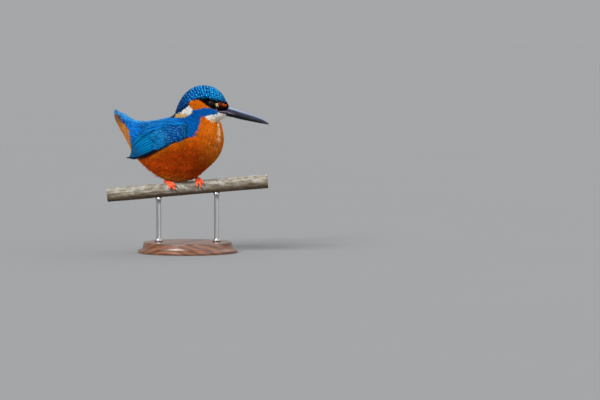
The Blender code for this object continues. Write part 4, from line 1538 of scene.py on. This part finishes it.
# Mantle, back, rump and upper tail coverts: longer, looser scale feathers, azure down the middle
def makeBack():
    setting = coat["back"]
    place, angle = evenRows(setting)
    region, x, z, y = marking(place, angle, setting["wander"], setting["ahead"])
    low = np.abs(angle) > 1.75
    keep = np.isin(region, (number["back"], number["breastSide"])) & (~low | ((place > 15.5) & (z > 93)))
    place, angle, region, x, z, y, low = picked(keep, place, angle, region, x, z, y, low)
    n = len(place)
    length = setting["length"] * mm * dice.uniform(0.8, 1.2, n)
    length = length * np.interp(place, (8, 10, 19, 21.6), (0.7, 1, 1, 0.6)) * np.where(low, 0.65, 1)
    heading = dice.normal(0, 0.09, n)
    half = setting["half"] * mm * dice.uniform(0.85, 1.1, (n, 1))
    base, tip = (v[:, None] for v in baseAndTip(region, x, z, y))
    shade = dice.uniform(0.62, 1.3, (n, 1, 1))

    def paint(t, s):
        edge = smooth((t - 0.4) / 0.5) * (0.35 + 0.65 * smooth(np.abs(s) * 1.3 - 0.2))
        shaft = 0.3 * np.exp(-(s / 0.25) ** 2)
        return mix(base * shade * (0.55 + 0.45 * t) * (1 - shaft), tip * shade, 0.8 * edge)

    layScales("back", place, angle, heading, length, half, paint)


makeCrown()
makeBack()

# lengths and widths of soft tufts, each a fan of strands; fan and stray are radians, tone is a spread of
# brightness, and loose, ruffle, hang and lift say how far the tips stand out
# deep is how dark a strand's root end is painted: partly the feathers' greyer bases, partly painted shade
# within the coat
tufts = {
    "body": {"gap": 1.5, "strands": 8, "steps": 4, "length": 8.0, "half": 0.23, "fan": 0.26, "stray": 0.10,
             "spread": 0.8, "lift": 0.15, "loose": 0.16, "ruffle": 3.0, "hang": 1.1, "tone": 0.22,
             "deep": 0.62},
    "face": {"gap": 0.85, "strands": 5, "steps": 3, "length": 3.6, "half": 0.17, "fan": 0.22, "stray": 0.08,
             "spread": 0.36, "lift": 0.06, "loose": 0.05, "ruffle": 0.0, "hang": 0.0, "tone": 0.14,
             "deep": 0.92},
    "vent": {"loose": 0.24, "lift": 0.25, "length": 7.6},  # where it differs from the body
    "patch": 0.0034,  # size of a tuft in the bake map
}


# Roots spread evenly by area: random points weighted by area, then one kept in each cube of the gap's size
def scattered(placeRange, gap):
    tries = 220000
    place = dice.uniform(*placeRange, tries)
    angle = dice.uniform(-math.pi, math.pi, tries)
    here = bodyFrame(place, angle)
    area = here.perPlace * here.perAngle
    place, angle = picked(dice.uniform(0, 1, tries) < area / np.percentile(area, 99), place, angle)
    cell = np.floor(bodyAt(place, angle) / (gap * mm)).astype(np.int64)
    _, first = np.unique(cell @ np.array([1, 1000, 1000000]), return_index=True)
    return picked(np.sort(first), place, angle)


# Soft tufts: each is a fan of slender strands from one root, longest in the middle
def makeTufts(name, place, angle, region, x, z, y, look, span):
    n, m = len(place), look["strands"]
    fan = np.linspace(-1, 1, m)[None, :] + dice.normal(0, 0.12, (n, m))
    heading = dice.normal(0, look["stray"], (n, 1)) + fan * look["fan"] + dice.normal(0, 0.05, (n, m))
    length = shortened(place, angle, look["length"] * mm)[:, None] * (1 - 0.22 * fan**2)
    length = length * dice.uniform(0.82, 1.12, (n, m))
    here = bodyFrame(np.clip(place, 0.02, lastPlace), angle)
    spread = look["spread"] * mm
    rootAngle = angle[:, None] + fan * spread / here.perAngle[:, None]
    rootPlace = place[:, None] + dice.uniform(-0.5, 0.5, (n, m)) * spread / here.perPlace[:, None]
    ruffled = look["loose"] * (1 + look["ruffle"] * smooth((90 - z) / 14) * smooth((24 - x) / 20))[:, None]
    bend = (region == number["breastSide"]) & (place > 7) & (x < 13)
    lift = look["lift"] + (look["hang"] * smooth((76 - z) / 5) + 0.8 * bend)[:, None]
    lift = lift + dice.normal(0, 0.5, (n, 1)) * ruffled + dice.normal(0, 1, (n, m)) * ruffled
    strands = (v.reshape(-1) for v in (rootPlace, rootAngle, heading, length))
    paths = coatPaths(*strands, look["steps"], 0.92, (lift * mm).reshape(-1))
    outline = np.interp(np.linspace(0, 1, look["steps"] + 1), (0, 0.3, 0.7, 1), (0.7, 1, 0.8, 0))
    half = (look["half"] * mm * dice.uniform(0.8, 1.2, n * m))[:, None] * outline
    base, tip = (np.repeat(v, m, 0)[:, None] for v in baseAndTip(region, x, z, y))
    shade = dice.normal(1.0, look["tone"], (n, 1)) * dice.normal(1.0, look["tone"] * 0.6, (n, m))
    shade = shade.clip(0.4, 1.7).reshape(-1, 1, 1)

    def paint(t, s):
        # roots darkened by deep: greyer bases and painted shade within the coat
        return mix(base * mix(look["deep"], 1, smooth(t * 1.6)), tip, smooth((t - 0.45) / 0.5)) * shade

    shift = np.stack([fan * tufts["patch"] * 0.42, np.zeros((n, m))], -1)
    area = (unwrap(place, np.abs(angle), span, (0.0, math.pi))[:, None] + shift).reshape(-1, 2)
    patch = tufts["patch"] / m, tufts["patch"]
    feathers(name, "strand", *paths, half, look["half"] * 0.5, 0.0, area, patch, paint, "soft")
    print(name + ":", n, "tufts")


# Breast, belly, flanks and undertail, away from what the wings cover
def makeBodyTufts():
    place, angle = scattered((4.0, 21.6), tufts["body"]["gap"])
    _, farX, farZ, _ = marking(place, angle, 0.3, 7.5)
    atRoot = marking(place, angle, 0.3, 1.5)[0]
    region, x, z, y = marking(place, angle, 0.5, 5.0)
    hidden = (x < 6) & (x > -40) & (z > lineAt(wingShape["lower"], x) + 5)
    over = farZ - lineAt(wingShape["lower"], farX)
    tipUnder = (farX < -10) & (farX > -52) & (over > -0.3) & (over < np.where(farX > -40, 40, 6))
    hidden = (hidden | tipUnder) & (np.abs(y) > 6) & (z < lineAt(wingShape["upper"], x) + 0.5)
    soft = (number["orange"], number["undertail"])
    bend = (region == number["breastSide"]) & (x < 13) & (place > 7)
    keep = ((np.isin(region, soft) & np.isin(atRoot, soft)) | bend) & ~hidden
    roots = picked(keep, place, angle, region, x, z, y)
    place, angle = roots[:2]
    for label, low, high in (("breast", 0, 12.2), ("belly", 12.2, 15.4), ("vent", 15.4, 30)):
        for sideName, side in bothSides:
            pick = (place >= low) & (place < high) & (np.sign(-np.sin(angle)) == side)
            look = {**tufts["body"], **(tufts["vent"] if label == "vent" else {})}
            span = max(low, 4.0) - 0.2, min(high, 21.6) + 0.2
            makeTufts(f"{label}_{sideName}_tufts", *picked(pick, *roots), look, span)


# Short tufts of the face, throat and neck patches, clear of the eye and the gape
def makeFaceTufts():
    place, angle = scattered((0.0, 10.5), tufts["face"]["gap"])
    region, x, z, y = marking(place, angle, 0.18, 1.6)
    mouth = np.array(gape["line"])[::-1, 0]
    onMouth = np.abs(z - lineAt(gape["line"], x)) < np.interp(x, mouth, gape["half"][::-1]) - 0.5
    clear = (np.hypot(x - eye["place"][0], z - eye["place"][1]) > 3.3) & ~(onMouth & (x > 28.8))
    small = np.isin(region, [number[k] for k in patches + ("spot",)])
    keep = (small | ((region == number["orange"]) & (place < 9.5))) & clear
    roots = picked(keep, place, angle, region, x, z, y)
    for sideName, side in bothSides:
        pick = np.sign(-np.sin(roots[1])) == side
        makeTufts(f"face_{sideName}_tufts", *picked(pick, *roots), tufts["face"], (-0.1, 10.8))


makeBodyTufts()
makeFaceTufts()

# Coverts: places along (from, to, step) and across are shares of the wing sheet; colours are the base at the
# front, middle and rear, then the edge in the middle and at the rear
coverts = {
    "greater": {"along": (0.25, 0.33, 0.040), "across": (0.14, 1.0), "gap": 0.09, "reach": 0.25,
                "half": 1.9, "level": -0.45, "frontLift": 0.0, "spot": 0.25,
                "colors": ((1, 84, 140), (1, 84, 140), (1, 84, 140), (10, 128, 182), (10, 128, 182))},
    "median": {"along": (0.23, 0.32, 0.045), "across": (0.08, 0.99), "gap": 0.11, "reach": 0.14,
               "half": 1.8, "level": -0.25, "frontLift": 0.0, "spot": 0.42,
               "colors": ((1, 48, 78), (1, 48, 112), (1, 60, 108), (2, 70, 144), (3, 86, 144))},
    "lesser": {"along": (-0.02, 0.26, 0.036), "across": (0.04, 0.99), "gap": 0.11, "reach": 0.10,
               "half": 1.45, "level": -0.10, "frontLift": 0.0, "spot": 0.50,
               "colors": ((1, 48, 78), (1, 48, 112), (1, 60, 108), (2, 70, 144), (3, 86, 144))},
    "scapular": {"along": (0.02, 0.44, 0.060), "across": (0.0, 0.24), "gap": 0.085, "reach": 0.25,
                 "half": 1.6, "level": 0.30, "frontLift": 0.9, "spot": 0.0,
                 "colors": ((1, 78, 146), (1, 78, 146), (1, 78, 146), (24, 138, 200), (24, 138, 200))},
}
covertSpot = (78, 176, 232)
covertOutline = np.array([0.25, 0.6, 0.85, 0.97, 1.0, 1.0, 0.9, 0.6, 0.0])


# Centre lines on the wing sheet, straight in its two parameters, rising from under their neighbours
def wingPaths(side, startAlong, startAcross, reach, drift, rows, level, rootDrop):
    t = np.linspace(0, 1, rows)[None, :]
    along = startAlong[:, None] + reach[:, None] * t
    across = startAcross[:, None] + drift[:, None] * t
    normals = wingNormal(side, along, across)
    height = (np.broadcast_to(level, startAlong.shape)[:, None] - rootDrop * (1 - t) ** 1.2) * mm
    return wingAt(side, along, across) + normals * height[..., None], normals


# Rows of rounded coverts, teal-blue and darker at the base, each with a light blue spot at its tip
def makeCoverts(label, side, sideName):
    setting = coverts[label]
    low, high, step = setting["along"]
    alongs, acrosses = [], []
    for i, at in enumerate(np.arange(low, high + 1e-6, step)):
        start = setting["across"][0] + 0.5 * setting["gap"] * (i % 2)
        acrosses.append(np.arange(start, setting["across"][1], setting["gap"]))
        alongs.append(np.full(len(acrosses[-1]), at))
    along, across = np.concatenate(alongs), np.concatenate(acrosses)
    n = len(along)
    along = along + dice.uniform(-0.005, 0.005, n)
    across = across + dice.uniform(-0.008, 0.008, n)
    reach = setting["reach"] * dice.uniform(0.92, 1.1, n)
    front = (1 - smooth(across / 0.22)) * smooth((along + 0.05) / 0.2)
    level = setting["level"] + setting["frontLift"] * front
    paths = wingPaths(side, along, across, reach, dice.normal(0.0, 0.012, n), len(covertOutline), level, 0.8)
    half = setting["half"] * mm * dice.uniform(0.9, 1.1, (n, 1)) * covertOutline
    shade = dice.uniform(0.7, 1.25, (n, 1, 1))
    here = along[:, None, None]
    spotSize = setting["spot"] * dice.uniform(0.15, 1.2, (n, 1, 1)) * smooth((here + 0.06) / 0.12)
    rear = smooth((here - 0.18) / 0.14)
    foreBase, midBase, rearBase, midEdge, rearEdge = (linear(c) for c in setting["colors"])
    base = mix(mix(midBase, rearBase, rear), foreBase, smooth((0.24 - here) / 0.24))
    edge = mix(midEdge, rearEdge, rear)

    def paint(t, s):
        web = mix(base * (0.5 + 0.5 * smooth(t * 1.5)), edge, 0.6 * smooth((t - 0.35) / 0.4) * np.abs(s))
        mark = smooth((t - 0.70) / 0.14) * np.exp(-(s / 0.55) ** 2)
        return mix(web * shade, linear(covertSpot), np.clip(mark * spotSize, 0, 1))

    u = 0.03 + 0.94 * np.clip(across + 0.1, 0, 1.1) / 1.1
    v = 0.03 + 0.94 * np.clip(along + 0.03, 0, 0.66) / 0.66
    name = f"{label}_coverts_{sideName}"
    feathers(name, "vane", *paths, half, 0.13, 0.14, np.stack([u, v], -1), (0.04, 0.04), paint)


# Long feathers: from the first to the last of a set, each value runs between its two; the tips' steps shrink
# by a power. Colours are the web, its bright outer part and its dark edge
flight = {
    "primaries": {"count": 6, "root": 0.40, "tips": (1.03, 0.80), "shrink": 1.0, "half": 1.0,
                  "rootAcross": (0.93, 1.0), "tipAcross": (0.95, 1.02), "level": (-1.05, -0.05),
                  "colors": ((20, 16, 17), (40, 34, 34), (7, 6, 7))},
    "secondaries": {"count": 9, "root": 0.28, "tips": (0.87, 0.985), "shrink": 0.55, "half": 2.4,
                    "rootAcross": (0.18, 0.93), "tipAcross": (0.12, 0.93), "level": (-0.50, -1.00),
                    "colors": ((1, 86, 138), (10, 140, 196), (1, 26, 54))},
    "tertials": {"count": 4, "root": 0.30, "tips": (0.68, 0.87), "shrink": 1.0, "half": 2.4,
                 "rootAcross": (0.04, 0.22), "tipAcross": (-0.02, 0.16), "level": (0.15, -0.35),
                 "colors": ((1, 86, 138), (10, 140, 196), (1, 26, 54))},
}


# Dusky primaries lowest, blue secondaries over them with a bright outer edge, tertials on top
def makeFlight(label, side, sideName):
    setting = flight[label]
    count, rows = setting["count"], 26
    k = np.linspace(0, 1, count)
    start = np.full(count, setting["root"]) + dice.uniform(-0.01, 0.01, count)
    end = mix(*setting["tips"], k ** setting["shrink"]) + dice.uniform(-0.006, 0.006, count)
    across = mix(*setting["rootAcross"], k)
    drift = mix(*setting["tipAcross"], k) - across
    paths = wingPaths(side, start, across, end - start, drift, rows, mix(*setting["level"], k), 0.5)
    t = np.linspace(0, 1, rows)
    outline = np.interp(t, (0, 0.15, 0.5, 0.85, 0.94, 0.98, 1), (0.35, 0.7, 1.0, 0.95, 0.72, 0.42, 0))
    half = setting["half"] * mm * outline * np.ones((count, 1))
    shade = dice.uniform(0.88, 1.12, (count, 1, 1))
    web, outer, dark = (linear(c) for c in setting["colors"])

    def paint(t, s):
        s = s * side
        streak = 0.5 + 0.5 * np.sin(9 * t + 5 * s + 2.4 * np.arange(count)[:, None, None])
        lower = smooth((s - 0.10) / 0.35) * smooth((0.95 - s) / 0.2)
        color = mix(web, outer, 0.85 * lower * (0.35 + 0.65 * streak))
        shadow = np.maximum(0.9 * smooth((-s - 0.3) / 0.4), 0.85 * smooth((s - 0.82) / 0.12))
        return mix(mix(color, dark, shadow), dark, 0.6 * np.exp(-(s / 0.10) ** 2)) * shade

    feathers(f"{label}_{sideName}", "vane", *paths, half, 0.16, 0.10, *ownStrips(count), paint)


for sideName, side in bothSides:
    for label in flight:
        makeFlight(label, side, sideName)
    for label in coverts:
        makeCoverts(label, side, sideName)
print("wings ready")

# Tail feathers: angles round the body, section of the roots, how deep they lie: at the root of the middle
# one, more toward the sides, and more toward the tip
tail = {
    "rectrices_upper": {"count": 12, "angles": (-1.30, 1.30), "from": 18.6, "half": 2.0,
                        "sink": (0.45, 1.0, 0.5), "colors": ((6, 92, 164), (56, 148, 208), (3, 44, 92))},
    "rectrices_under": {"count": 10, "angles": (2.1, 4.18), "from": 20.4, "half": 1.8,
                        "sink": (0.7, 0.6, 0.3), "colors": ((84, 76, 74), (116, 104, 98), (38, 34, 34))},
}
tailEnd = 23.15  # section number that the tips reach


# Short feathers over the tail in a flat fan, and their dusky undersides beneath
def makeTail(label):
    setting = tail[label]
    count, rows = setting["count"], 22
    k = np.linspace(0, 1, count)[:, None]
    t = np.linspace(0, 1, rows)
    angle = mix(*setting["angles"], k) + 0 * t
    places = setting["from"] + (tailEnd - setting["from"]) * t - 0.35 * ((k - 0.5) * 2) ** 2 * t
    held = np.clip(places, 0.02, lastPlace - 0.2)
    here = bodyFrame(held, angle)
    near, far = (bodyAt(lastPlace - back, [0.0, math.pi]).mean(0) for back in (1.0, 0.2))
    past = ((places - held) * here.perPlace)[..., None]
    start, outer, fall = setting["sink"]
    height = -start - outer * np.abs(k - 0.5) * 0.8 - fall * t
    centers = here.point + unit(far - near) * past + here.normal * (height * mm)[..., None]
    outline = np.interp(t, (0, 0.2, 0.7, 0.9, 0.97, 1), (0.4, 0.7, 1.0, 0.8, 0.42, 0))
    half = setting["half"] * mm * outline * np.ones((count, 1))
    web, bright, dark = (linear(c) for c in setting["colors"])

    def paint(t, s):
        color = mix(web, bright, 0.6 * smooth((np.abs(s) - 0.3) / 0.5))
        color = mix(color, dark, 0.7 * np.exp(-(s / 0.12) ** 2))
        return mix(color, dark, 0.5 * smooth((t - 0.93) / 0.06)) * np.ones((count, 1, 1))

    feathers(label, "vane", centers, here.normal, half, 0.16, 0.08, *ownStrips(count), paint)


for label in tail:
    makeTail(label)
print("tail ready")
